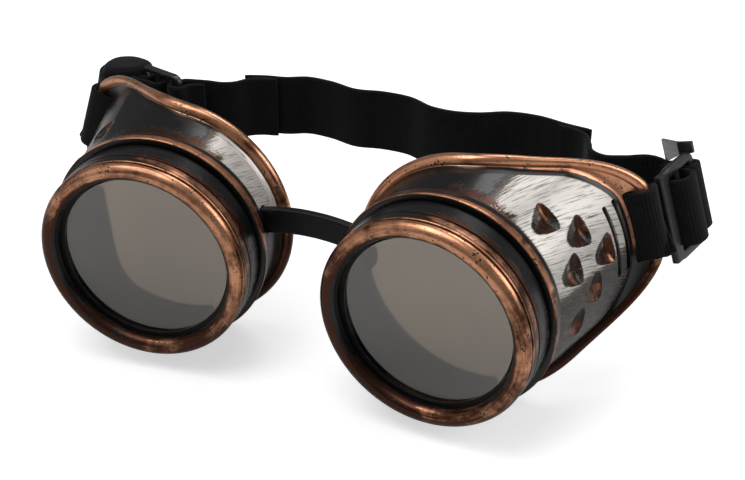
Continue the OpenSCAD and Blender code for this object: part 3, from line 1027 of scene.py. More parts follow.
@dataclass
class Eyecup:
    """One flared eyecup: threaded collar, ridge, side panel, flange, rim bead, vents and slots.

    The vents are troughs with a closed floor, as the photograph shows no light through them.
    """

    place: CupPlace
    shape: CupShape = field(default_factory=CupShape)
    sections: int = 336
    vent_r: float = 8.4
    vent_depth: float = 1.95
    vent_s: float = 28.4
    vent_pitch: float = 7.35
    vent_round: float = 2.0
    vent_step: float = 28.0
    vent_tilt: float = 0.5
    slot_len: float = 20.6
    slot_w: float = 1.7
    slot_pitch: float = 4.4
    thread_pitch: float = 2.5
    thread_height: float = 0.28
    vent_rows: int = 24
    vent_facets: int = 72
    brushing: Brushing = Brushing()

    @property
    def name(self) -> str:
        """Name of the CAD node that the eyecup replaces."""
        return f"{self.place.side.word}_eyecup"

    def wall_sections(self, d: Array) -> Array:
        """Closed sections of the whole cup at angles d from the tail, radius and distance back.

        The collar and the ridge are the same all round. Behind them come the straight panel, the
        concave flange as a curve of second degree, the round bead, and the inner side, which is
        the flange and the panel moved inwards by the wall's thickness.

        Args:
            d: Angles from the tail's middle line, in degrees.

        Returns:
            Array of angle by point by two numbers.
        """
        c = self.shape
        r1, s1, r2, s2 = c.edge_r(d), c.edge_s(d), c.rim_r(d), c.rim_s(d)
        b = c.rim_bead
        o, k, e = c.flange_curve(r1, s1, r2, s2)

        def q(t: float) -> Array:
            return (1 - t) ** 2 * o + 2 * t * (1 - t) * k + t**2 * e

        def inner(t: float) -> Array:
            g = unit((1 - t) * (k - o) + t * (e - k))
            return q(t) + c.cup_wall * np.stack([-g[:, 1], g[:, 0]], -1)

        def fixed(points: list[tuple[float, float]]) -> list[Array]:
            return [np.broadcast_to(np.array(p, float), o.shape) for p in points]

        lead = unit(o - np.array([c.cup_front_r, c.ridge_end]))
        front = np.array([c.cup_front_r, c.ridge_end + c.panel_gap])
        panel_end = o - lead * 0.7
        parts: list[Array] = []
        # bore and the collar's front edge
        parts += fixed([(c.bore_r, s) for s in np.linspace(c.ridge_s + 0.8, c.collar_s + 0.4, 8)])
        parts += fixed([(c.bore_r + 0.12, c.collar_s + 0.12), (c.bore_r + 0.4, c.collar_s)])
        parts += fixed([(c.collar_r - 0.9, c.collar_s), (c.collar_r - 0.45, c.collar_s + 0.1)])
        # thread of the collar, which runs out at both ends
        collar = np.linspace(c.collar_s + 0.5, c.ridge_s - 0.25, 26)
        phase = np.radians(d)[:, None] / (2 * np.pi) - collar[None, :] / self.thread_pitch
        crest = np.clip(1.6 * np.cos(2 * np.pi * phase) - 0.2, 0, 1)
        fade = ramp(collar, c.collar_s + 0.4, c.collar_s + 1.4)
        fade = fade * ramp(collar, c.ridge_s - 0.3, c.ridge_s - 1.3)
        thread = c.collar_r - 0.02 + self.thread_height * crest * fade
        parts += [np.stack([thread[:, i], np.full(len(d), s)], -1) for i, s in enumerate(collar)]
        # ridge with round edges
        parts += fixed([(c.collar_r + 0.1, c.ridge_s - 0.06), (c.collar_r + 0.35, c.ridge_s)])
        parts += fixed([(r, c.ridge_s) for r in (29.2, 30.2, c.ridge_r - 0.55)])
        parts += fixed([(c.ridge_r - 0.24, c.ridge_s + 0.1), (c.ridge_r - 0.07, c.ridge_s + 0.3)])
        slope, rear = np.linspace(0.07, 0.93, 7), c.ridge_end
        flat = c.ridge_len - 0.9
        parts += fixed([(c.ridge_r - 0.5 * t, c.ridge_s + 0.5 + flat * t) for t in slope])
        parts += fixed([(c.ridge_r - 0.56, rear - 0.12), (c.ridge_r - 0.75, rear + 0.02)])
        parts += fixed([(c.cup_front_r + 0.16, rear + 0.06)])
        # panel, its round turn into the flange, flange and rim bead
        parts += [front + (panel_end - front) * t for t in np.linspace(0, 1, 44)]
        u = np.array([0.35, 0.7])
        parts += [(1 - t) ** 2 * panel_end + 2 * t * (1 - t) * o + t**2 * q(0.1) for t in u]
        parts += [q(t) for t in np.linspace(0.1, 1, 14)]
        for a in np.radians(np.linspace(196, -66, 26)):
            parts.append(np.stack([r2 + b * np.sin(a), s2 + b * np.cos(a)], -1))
        # inner side of the flange and of the panel, and the step to the bore
        parts += [inner(t) for t in (0.64, 0.5, 0.36, 0.22, 0.1)]
        inside_end = np.array([c.cup_front_r - c.cup_wall - c.panel_slope * 1.6, c.ridge_end - 1.6])
        inside_start = np.stack([r1 - c.cup_wall, s1], -1)
        parts += [inside_start + (inside_end - inside_start) * t for t in np.linspace(0, 1, 30)]
        parts += fixed([(c.bore_r + 1.1, c.ridge_s + 1.75), (c.bore_r + 0.3, c.ridge_s + 1.2)])
        return np.stack(parts, 1)

    def shell_points(self) -> Array:
        """Grid of the shell in the cup's own frame, one row for each angle."""
        d = np.linspace(-180, 180, self.sections, endpoint=False)
        r, s = np.moveaxis(self.wall_sections(d), -1, 0)
        angle = np.radians(d + self.shape.tail_angle)[:, None]
        return np.stack([r * np.cos(angle), s, r * np.sin(angle)], -1)

    def vent_places(self) -> list[tuple[float, float]]:
        """Angle about the lens axis and distance back of each vent: a triangle of 3, 2 and 1."""
        middle = self.shape.tail_angle + 2.5
        return [
            (middle - 1.3 * row + (k - (2 - row) / 2) * self.vent_step,
             self.vent_s + row * self.vent_pitch)
            for row in range(3)
            for k in range(3 - row)
        ]

    def vent_cutter(self, angle: float, s: float) -> tuple[Array, Array]:
        """Round trough that is deepest near its rounded rear and rises out of the wall forwards.

        A circle is carried along a straight axis which is tilted outwards. At the rear its
        radius shrinks by the trough's depth along a quarter of an ellipse. Both ends are closed
        by collapsing the ring onto the axis.

        Args:
            angle: Angle about the lens axis in degrees.
            s: Distance back of the trough's rear face.

        Returns:
            Points in the cup's frame and faces.
        """
        tilt = np.radians(self.vent_tilt)
        wall = float(self.shape.wall_line(np.array(s), np.array(angle - self.shape.tail_angle)))
        start = np.array([wall - self.vent_depth + self.vent_r, s - self.vent_round, 0.0])
        axis = np.array([np.sin(tilt), -np.cos(tilt), 0.0])
        out = np.array([np.cos(tilt), np.sin(tilt), 0.0])
        quarter = np.radians(np.linspace(0, 90, 7)[:-1])
        ahead = np.linspace(0.0, 2 * self.vent_pitch, self.vent_rows - len(quarter))
        reach = np.concatenate([-self.vent_round * np.cos(quarter), ahead])
        size = self.vent_r - self.vent_depth * np.concatenate([1 - np.sin(quarter), 0 * ahead])
        a = np.linspace(0, 2 * np.pi, self.vent_facets, endpoint=False)
        ring = np.cos(a)[None, :, None] * out + np.sin(a)[None, :, None] * np.array([0, 0, 1.0])
        points = capped(start + reach[:, None, None] * axis + size[:, None, None] * ring)
        points = about_lens_axis(points, angle)
        return points.reshape(-1, 3), grid_faces(*points.shape[:2], False, True)

    def slot_cutter(
        self, x: tuple[float, float], s: tuple[float, float], z: float
    ) -> tuple[Array, Array]:
        """Slot cutter with round ends, in the tail's frame, turned to the cup's frame.

        Args:
            x: Nearest and farthest distance from the lens axis.
            s: Front and rear of the slot.
            z: Half length of the slot.

        Returns:
            Points in the cup's frame and faces.
        """
        half = (s[1] - s[0]) / 2
        corners = np.array([[s[0], -z], [s[1], -z], [s[1], z], [s[0], z]])
        outline = rounded_loop(corners, np.full(4, 0.8 * half), 50.0)
        local = capped(np.stack([np.column_stack([np.full(len(outline), h), outline]) for h in x]))
        points = about_lens_axis(local, self.shape.tail_angle)
        return points.reshape(-1, 3), grid_faces(*points.shape[:2], False, True)

    def slot_cutters(self) -> list[tuple[Array, Array]]:
        """Two spare slots and the wider slot that the webbing goes through."""
        c = self.shape
        exit_s = c.tail_s - c.rim_bead - c.web_gap - 0.25 - c.web_t / 2
        through = (c.tail_x - 12, c.tail_x + 8)
        middles = [exit_s - k * self.slot_pitch for k in (1, 2)]
        rows = [(middle - self.slot_w / 2, middle + self.slot_w / 2) for middle in middles]
        rows.append((exit_s - c.web_t / 2 - 0.4, exit_s + c.web_t / 2 + 0.4))
        return [self.slot_cutter(through, row, self.slot_len / 2) for row in rows]

    def build(self, bridge: "NoseBridge", finish: bpy.types.Material) -> bpy.types.Object:
        """Makes the cup, cuts its openings and paints it.

        Args:
            bridge: The nose bridge, which needs a slot in the wall.
            finish: Dry-brushed material.

        Returns:
            The finished piece.
        """
        grid = self.shell_points()
        rows, columns = grid.shape[:2]
        faces = grid_faces(rows, columns, True, True)
        cup = make_piece(f"{self.name}_shell", self.place.to_row(grid).reshape(-1, 3), faces)
        cutters = [self.vent_cutter(a, s) for a, s in self.vent_places()] + self.slot_cutters()
        for number, (points, tool_faces) in enumerate(cutters):
            tool = make_piece(f"cutter_{number}", self.place.to_row(points), tool_faces)
            close_poles(tool, POLE_MERGE)
            apply_boolean(cup, tool, "DIFFERENCE")
        apply_boolean(cup, bridge.slot_cutter(), "DIFFERENCE")
        smooth(cup, 32)
        self.paint(cup)
        dress(cup, finish)
        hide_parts(self.name)
        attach(cup, f"{self.place.side.word}_cup")
        return cup

    def paint(self, cup: bpy.types.Object) -> None:
        """Stores how much silver and copper lies at each point, with painted light and shade, and
        the strokes.

        Copper lies on the rim bead, the outer part of the flange and the ridge's edge, and in
        streaks on the panel. On bead, flange and ridge it is thicker and lighter on top, which is
        partly paint and partly a painted highlight from above. Silver lies on part of the side
        panel. Each vent is silver above, which is partly paint and partly a painted highlight where
        light catches it, and copper below and at its rear face; both thin out towards the trough's
        shallow front as painted shade. Each share is a product of smooth steps over the distance
        from that place, and the largest share counts.
        """
        c, look = self.shape, self.brushing
        p = self.place.to_local(points_of(cup))
        r, s = np.hypot(p[:, 0], p[:, 2]), p[:, 1]
        phi = np.degrees(np.arctan2(p[:, 2], p[:, 0]))
        d = c.turn(phi - c.tail_angle)
        edge_s, edge_r, rim_s, rim_r = c.edge_s(d), c.edge_r(d), c.rim_s(d), c.rim_r(d)
        from_bead = np.hypot(r - rim_r, s - rim_s)
        up = np.sin(np.radians(phi))
        bead = ramp(from_bead, c.rim_bead + 0.5, c.rim_bead + 0.05) * ramp(s - rim_s, 1.6, 0.2)
        wall_r = np.where(s < edge_s, c.wall_line(s, d), edge_r)
        outside = ramp(r - wall_r, -0.9, -0.3)
        flange = ramp(s - edge_s, -0.2, 0.5) * ramp(r - edge_r, -0.8, 0.1)
        over = np.clip((s - edge_s) / np.maximum(rim_s - edge_s, 1.0), 0, 1)
        ridge = ramp(s, c.ridge_s - 0.3, c.ridge_s + 0.1)
        ridge = ridge * ramp(s, c.ridge_end + 0.4, c.ridge_end - 0.2)
        behind = outside * ramp(s, c.ridge_end + 0.2, c.ridge_end + 1.2)
        panel = behind * (1 - flange)
        wide = ramp(np.abs(c.turn(phi - look.ridge_middle)), 95, 25)
        ridge_line = ramp(s, c.ridge_s + 1.0 + 2.8 * wide, c.ridge_s + 0.5 + 2.0 * wide)
        start = look.flange_start - 0.35 * ramp(np.abs(d), 60, 10)
        flange_edge = ramp(over, start - 0.04, start + 0.04)
        flange_up = ramp(up, look.flange_low, look.flange_low + 0.3)
        ridge_top = ramp(r, c.ridge_r - 0.9, c.ridge_r - 0.3) * ridge_line
        streaks = look.near(phi, look.streak_middle, look.streak_half)
        fading = ramp(s, c.ridge_end + 9, c.ridge_end + 1)
        # painted highlight: on bead, flange and ridge the copper grows thicker and lighter towards
        # the top, partly paint and partly light from above
        copper = np.maximum.reduce([
            bead * (0.66 + 0.26 * ramp(up, -0.5, 0.4)),
            flange * flange_edge * flange_up * look.flange_copper,
            ridge * ridge_top * (0.72 + 0.2 * ramp(up, -0.3, 0.7)),
            panel * streaks * fading * look.streak_copper,
            panel * look.near(phi, look.low_middle, 60) * look.low_copper,
        ])
        drum = behind * ramp(over, look.silver_over + 0.1, look.silver_over)
        silver = np.maximum.reduce([
            drum * look.near(phi, look.silver_middle, look.silver_half) * look.silver,
            panel * look.near(phi, 5, 45) * look.side_silver,
            panel * look.near(phi, look.low_middle, 55) * look.low_silver,
            flange * ramp(up, 0.1, -0.3) * look.flange_silver,
        ])
        deep = c.wall_line(s, d) - r
        half = np.sqrt(2 * self.vent_r * self.vent_depth - self.vent_depth**2)
        for angle, rear in self.vent_places():
            off = np.radians(c.turn(phi - angle)) * c.panel_r(np.array(rear))
            inside = (deep > 0.08) & (deep < 2.0) & (np.abs(off) < half + 2.5)
            inside &= (s < rear + 0.05) & (s > rear - 1.3 * self.vent_pitch)
            # painted shade: less paint, so a darker trough, towards each vent's shallow front
            lit = 0.6 + 0.4 * ramp(s, rear - 1.1 * self.vent_pitch, rear - 0.5 * self.vent_pitch)
            rear_face = ramp(s, rear - 1.6 * self.vent_round, rear - self.vent_round)
            low = np.maximum(ramp(off, 0.4 * half, 0.0), rear_face)
            # silver on each vent's upper part, partly paint and partly a painted highlight where
            # light catches it
            high = ramp(off, -0.4 * half, 0.0)
            copper = np.where(inside, look.vent_copper * low * lit, copper)
            silver = np.where(inside, look.vent_silver * high * lit, silver)
        set_field(cup, "copper", copper)
        set_field(cup, "silver", silver)
        ring, ring_w = Brush().round_axis(p)
        flat, flat_w = Brush(length=8.0, width=0.42).rearwards(p, look.slant, c.cup_front_r + 3)
        on_panel = panel > 0.5
        set_field(cup, "brush", np.where(on_panel[:, None], flat, ring))
        set_field(cup, "brush_w", np.where(on_panel, flat_w, ring_w))


# --------------------------------------------------------------------------- bezel and lens


@dataclass
class LensPack:
    """Screw bezel, gasket and lens of one side, each a section turned about the lens axis."""

    place: CupPlace
    bezel_r: float = 30.0
    skirt_len: float = 10.9
    skirt_wall: float = 1.6
    bead: float = 2.4
    shoulder_s: float = 1.6
    gap: float = 0.1
    gasket_t: float = 1.0
    gasket_lip: float = 0.8
    lens_t: float = 2.0
    lens_rise: float = 0.9  # the lens's face stands into the gasket's opening
    facets: int = 288

    @property
    def bead_c(self) -> float:
        """Radius of the bead's centre circle."""
        return self.bezel_r - 0.1 - self.bead

    @property
    def aperture_r(self) -> float:
        """Radius of the opening."""
        return self.bead_c - self.bead

    @property
    def skirt_in(self) -> float:
        """Inner radius of the skirt."""
        return self.bezel_r - self.skirt_wall

    def bezel_section(self) -> Array:
        """Section of the bezel: rolled bead, seam groove, skirt with a rounded rear edge."""
        r, bead = self.bezel_r, self.bead
        arc = np.radians(np.linspace(2, 178, 36))
        rolled = np.stack([self.bead_c + bead * np.cos(arc), -bead * np.sin(arc)], -1)
        before = [(r, 2.4), (r - 0.1, 0.9)]
        after = [(self.aperture_r, self.shoulder_s), (self.skirt_in, self.shoulder_s),
                 (self.skirt_in, self.skirt_len), (r, self.skirt_len), (r, 4.55),
                 (r - 0.45, 4.45), (r - 0.45, 4.05), (r, 3.95)]
        radii = np.array([0.15, 0.1, 0.35, 0.45, 0.12, 0.1, 0.1, 0.12, 0.5, 0.3])
        outline = rounded_loop(np.array(after + before), radii, 0.45)
        return np.concatenate([outline, rolled])

    def disc(self, section: Array, name: str, sharp: float) -> bpy.types.Object:
        """Turns a section about the lens axis and makes a piece of it."""
        grid = revolve(section, self.facets)
        faces = grid_faces(self.facets, len(section), True, True)
        piece = make_piece(name, self.place.to_row(grid).reshape(-1, 3), faces, sharp)
        close_poles(piece, DISC_MERGE)
        return piece

    def build(
        self, ring: bpy.types.Material, rubber: bpy.types.Material, glass: bpy.types.Material
    ) -> None:
        """Makes bezel, gasket and lens, dresses them and lets them ride on their bodies.

        Args:
            ring: Dry-brushed material of the bezel.
            rubber: Material of the gasket.
            glass: Material of the lens.
        """
        word = self.place.side.word
        bezel = self.disc(self.bezel_section(), f"{word}_bezel_ring", 35)
        self.paint_bezel(bezel)
        g = self.shoulder_s + self.gap
        lip_r, seat_r = self.aperture_r - self.gasket_lip, self.skirt_in - 0.5
        back = g + self.gasket_t
        gasket_box = np.array([[lip_r, g], [seat_r, g], [seat_r, back], [lip_r, back]])
        gasket_loop = rounded_loop(gasket_box, np.full(4, 0.3), 0.8)
        gasket = self.disc(gasket_loop, f"{word}_gasket_ring", 40)
        front, edge = back + self.gap, self.skirt_in - 0.9
        face_r, face, rear = lip_r - 0.15, front - self.lens_rise, front + self.lens_t
        lens_box = np.array([[0.0, face], [face_r, face], [face_r, front], [edge, front],
                             [edge, rear], [0.0, rear]])
        lens_loop = rounded_loop(lens_box, np.array([0, 0.3, 0.1, 0.3, 0.15, 0]), 1.5)
        lens = self.disc(lens_loop, f"{word}_lens_disc", 30)
        for piece, finish, body, slot in (
            (bezel, ring, "screw_bezel", "copper_bezel"),
            (gasket, rubber, "lens_pack", "black_rubber"),
            (lens, glass, "lens_pack", "smoke_lens"),
        ):
            piece.data.materials.append(finish)
            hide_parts(f"{word}_{piece.name.split('_')[1]}")
            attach(piece, f"{word}_{body}")

    def paint_bezel(self, bezel: bpy.types.Object) -> None:
        """Stores the copper on the bezel: dense on the bead, worn at its inner edge.

        On the skirt it starts dense behind the bead and fades rearwards, on the upper right only.
        On the bead, painted highlight adds copper towards the upper right, and painted shade takes
        some away at the lower left.
        """
        p = self.place.to_local(points_of(bezel))
        r, s = np.hypot(p[:, 0], p[:, 2]), p[:, 1]
        phi = np.degrees(np.arctan2(p[:, 2], p[:, 0] * self.place.side.value))
        # painted highlight: slightly more copper, and lighter copper, towards the upper right,
        # where light falls
        light = np.cos(np.radians(phi - 60))
        outer = ramp(r, self.aperture_r - 0.1, self.aperture_r + 0.5)
        low = ramp(np.sin(np.radians(phi)), -0.2, -0.8)
        crest = np.maximum(ramp(r, self.aperture_r + 0.2, self.aperture_r + 2.0), low)
        inner = ramp(r, self.aperture_r - 0.6, self.aperture_r - 0.1) * ramp(s, 0.6, 0.0)
        outer = np.maximum(outer, low * inner)
        # painted shade: less copper at the lower left, which faces away from the light
        painted_shade_low_left = 0.12 * Brushing.near(phi, 215, 60)
        bead = outer * ramp(s, 2.2, 1.2) * (0.54 + 0.28 * crest + 0.1 * light - painted_shade_low_left)
        reach = Brushing.near(phi, 46, 66)
        skirt = ramp(r, self.bezel_r - 0.6, self.bezel_r - 0.2) * ramp(s, 1.0, 2.0)
        copper = np.maximum(bead, skirt * reach * ramp(s, 3.0 + 7.5 * reach, 2.6) * 0.84)
        silver = skirt * Brushing.near(phi, -20, 55) * 0.4
        set_field(bezel, "copper", copper)
        set_field(bezel, "silver", silver)
        brush, brush_w = Brush(length=7.0, width=0.5).round_axis(p)
        set_field(bezel, "brush", brush)
        set_field(bezel, "brush_w", brush_w)


# --------------------------------------------------------------------------- nose bridge


@dataclass
class NoseBridge:
    """Rubber strip over the nose: an arch through both cups with a head at each end."""

    place: CupPlace
    height: float = 7.4
    thickness: float = 2.5
    middle_z: float = 9.4
    rise: float = 1.7
    gap: float = 0.3
    y: float = 21.2651
    reach: float = 14.0686
    end: float = 18.7686
    bend_half: float = 8.0  # half length of the stretch that bends

    @property
    def arch_r(self) -> float:
        """Radius of the arch, from its rise over half the span."""
        return (self.reach**2 + self.rise**2) / (2 * self.rise)

    def along(self, x: Array) -> tuple[Array, Array]:
        """Path of the strip's middle at places x, and its width direction."""
        z = self.middle_z - self.arch_r + np.sqrt(self.arch_r**2 - x**2)
        centres = self.place.shift(x, np.full_like(x, self.y), z)
        widths = np.stack([x / self.arch_r, 0 * x, np.sqrt(1 - (x / self.arch_r) ** 2)], -1)
        return centres, widths

    def bar(self, section: Array, name: str) -> bpy.types.Object:
        """Carries a section along the arch from head to head, and closes its ends."""
        centres, widths = self.along(np.linspace(-self.end, self.end, 121))
        return make_tube(name, capped(sweep(centres, widths, section, False)), 50)

    def head(self, side: int) -> bpy.types.Object:
        """Rounded block on the strip's end inside a cup: a rectangle carried along X.

        Args:
            side: Sign of X.

        Returns:
            The closed block.
        """
        h, t = self.height / 2 + 1.3, self.thickness / 2 + 1.2
        box = rounded_box(h, t, 0.6, 0.8)
        reach = np.array([-1.0, -0.85, 0.85, 1.0])
        size = np.array([0.93, 1.0, 1.0, 0.93])
        middle = self.along(np.array([side * self.end]))[0][0]
        rows = [
            np.column_stack([np.full(len(box), side * self.end + u),
                             middle[1] + box[:, 1] * k, middle[2] + box[:, 0] * k])
            for u, k in zip(reach, size)
        ]
        return make_tube(f"head_{side}", capped(np.stack(rows)), 50)

    def slot_cutter(self) -> bpy.types.Object:
        """Closed bar a little larger than the strip, which cuts the slots in the cups."""
        h, t = self.height / 2 + self.gap, self.thickness / 2 + self.gap
        return self.bar(rounded_box(h, t, 0.5, 20.0), "bridge_cutter")

    def build(self, finish: bpy.types.Material) -> bpy.types.Object:
        """Makes the strip with both heads."""
        section = rounded_box(self.height / 2, self.thickness / 2, 0.7, 0.6, 5)
        strip = self.bar(section, "nose_bridge_strip")
        for side in (-1, 1):
            apply_boolean(strip, self.head(side), "UNION")
        smooth(strip, 40)
        dress(strip, finish)
        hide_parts("nose_bridge")
        ends = np.array([-self.bend_half, self.bend_half])
        start, end = self.place.shift(ends, np.array(self.y), np.array(self.middle_z)) * MM
        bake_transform(strip)
        return strip


# --------------------------------------------------------------------------- sliders


@dataclass(frozen=True)
class StrapFrame:
    """Frame of a slider: its front edge's middle, along the strap, its height, and outwards."""

    origin: Array
    along: Array
    height: Array
    outward: Array

    def point(self, a: Array, h: Array, z: Array) -> Array:
        """Points a along the strap, h away from the head and z up the slider."""
        a, h, z = (np.asarray(v, float)[..., None] for v in (a, h, z))
        return self.origin + a * self.along + h * self.outward + z * self.height


@dataclass
class Slider:
    """Three-bar strap slider, a frame with two windows.

    The right one shows a wider front bar, and the strap's end plate stands up behind it.
    """

    side: Side
    frame: StrapFrame
    tall: float = 27.0
    left_tall: float = 25.2  # the left slider's rails lie low on the webbing
    thick: float = 2.2
    bar: float = 2.8
    mid_bar: float = 2.4
    window_a: float = 3.4
    window_b: float = 5.6
    window_half: float = 10.6  # half height of the windows
    mid_half: float = 11.6  # half length of the middle bar, which ends inside the rails
    wide_bar: tuple[float, float] = (0.8, 4.2)  # middle and width of the right front bar
    clip_h: tuple[float, ...] = (-7.2, -2.2, 1.6)  # end plate, at three rows: away from the head,
    clip_a: tuple[float, ...] = (16.4, 15.8, 16.8)  # along the strap,
    clip_low: tuple[float, ...] = (9.8, 12.3, 12.5)  # its lower
    clip_high: tuple[float, ...] = (16.7, 16.0, 15.7)  # and its upper edge
    clip_half: float = 0.5  # half its thickness

    def __post_init__(self) -> None:
        """Lowers the left slider's rails onto the webbing, as the photograph shows it."""
        if self.side is Side.LEFT:
            self.tall = self.left_tall

    def cross_bar(self, middle: float, width: float, half: float) -> bpy.types.Object:
        """Closed bar across the frame, a rounded rectangle carried up the slider.

        Args:
            middle: Place of its middle along the strap.
            width: Its width along the strap.
            half: Its half length.

        Returns:
            The bar.
        """
        z = np.linspace(-half, half, 24)
        centres = self.frame.point(np.full_like(z, middle), 0 * z, z)
        w, t = width / 2, self.thick / 2 - 0.03
        section = rounded_box(t, w, 0.7, 0.7, 4)
        out, along = section[None, :, :1], section[None, :, 1:2]
        grid = centres[:, None] + out * self.frame.outward + along * self.frame.along
        return make_tube("cross_bar", capped(grid), 40)

    def clip(self, plate: bpy.types.Material, dark: bpy.types.Material) -> None:
        """Bent end plate of the strap: bare metal towards the head, and black on its outer face as
        painted shade.

        Its section is a rectangle, carried along three rows of places that bend it.

        Args:
            plate: Bare metal.
            dark: Black finish of the outer face, where it stands for painted shade.
        """
        across = self.clip_half * np.array([-1, 1, 1, -1])
        rows = [
            self.frame.point(a + across, np.full(4, h), np.array([low, low, high, high]))
            for a, h, low, high in zip(self.clip_a, self.clip_h, self.clip_low, self.clip_high)
        ]
        clip = make_tube(f"{self.side.word}_strap_clip", capped(np.stack(rows)), 20)
        middle = self.frame.point(0.0, self.clip_h[1], 0.0)
        clip.data.materials.append(plate)
        clip.data.materials.append(dark)
        # faces on the outer side get the black finish, as painted shade
        for face in clip.data.polygons:
            away = np.array(face.center) / MM - middle
            face.material_index = int(float(away @ self.frame.outward) > 0)
        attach(clip, f"{self.side.word}_adjuster")

    @property
    def length(self) -> float:
        """Length along the strap."""
        return 2 * self.bar + self.mid_bar + self.window_a + self.window_b

    def build(self, finish: bpy.types.Material) -> bpy.types.Object:
        """Carries a rounded bar round the outline, and joins the middle bar to it.

        Args:
            finish: Slider's plastic.

        Returns:
            The finished piece.
        """
        word = self.side.word
        half_w = min(self.bar, self.tall / 2 - self.window_half) / 2
        front, rear, up = half_w, self.length - half_w, self.tall / 2 - half_w
        corners = np.array([[front, -up], [rear, -up], [rear, up], [front, up]])
        outline = rounded_loop(corners, np.full(4, 2.2), 0.8, 8)
        centres = self.frame.point(outline[:, 0], 0 * outline[:, 0], outline[:, 1])
        outwards = np.tile(self.frame.outward, (len(outline), 1))
        section = rounded_box(self.thick / 2, half_w, 0.75, 0.7, 4)
        grid = sweep(centres, outwards, section, True)
        ring = make_tube(f"{word}_slider_frame", grid, 40, ring=True)
        mid = self.bar + self.window_a + self.mid_bar / 2
        apply_boolean(ring, self.cross_bar(mid, self.mid_bar, self.mid_half), "UNION")
        if self.side is Side.RIGHT:
            wide = self.cross_bar(*self.wide_bar, self.tall / 2 - 0.7)
            apply_boolean(ring, wide, "UNION")
        smooth(ring, 35)
        dress(ring, finish)
        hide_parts(f"{word}_slider")
        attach(ring, f"{word}_adjuster")
        return ring


# --------------------------------------------------------------------------- webbing


@dataclass
class Webbing:
    """Flat elastic webbing: its section, and how a piece is made from stations."""

    width: float = 19.6
    thick: float = 1.5
    edge: float = 0.62
    step: float = 0.7
    end_share: float = 0.45  # thickness that a cut end keeps

    def section(self) -> Array:
        """Section with round edges and a barely crowned face."""
        return rounded_box(self.width / 2, self.thick / 2, self.edge, 1.2, 4)

    def build(
        self, name: str, stations: Array, closed: bool, finish: bpy.types.Material
    ) -> bpy.types.Object:
        """Carries the section along a smooth path through the stations.

        Args:
            name: Name of the piece.
            stations: Rows of place and width direction, six numbers.
            closed: True for a loop.
            finish: Webbing material.

        Returns:
            The piece, with the field cloth: places along and across the webbing.
        """
        path = resample(stations, self.step, closed)
        section = self.section()
        grid = sweep(path[:, :3], path[:, 3:], section, closed)
        if not closed:
            from_end = self.step * np.minimum(np.arange(len(path)), np.arange(len(path))[::-1])
            thin = self.end_share + (1 - self.end_share) * ramp(from_end, 0.0, 1.6)
            grid = capped(flattened(grid, path, thin))
        along = np.arange(len(grid))[:, None] * self.step + 0 * section[None, :, 0]
        across = section[None, :, 0] + 0 * along
        cloth = np.stack([along, across, 0 * along], -1)
        piece = make_tube(name, grid, 60, closed, cloth)
        if not closed:
            smooth(piece, 60)
        dress(piece, finish)
        return piece


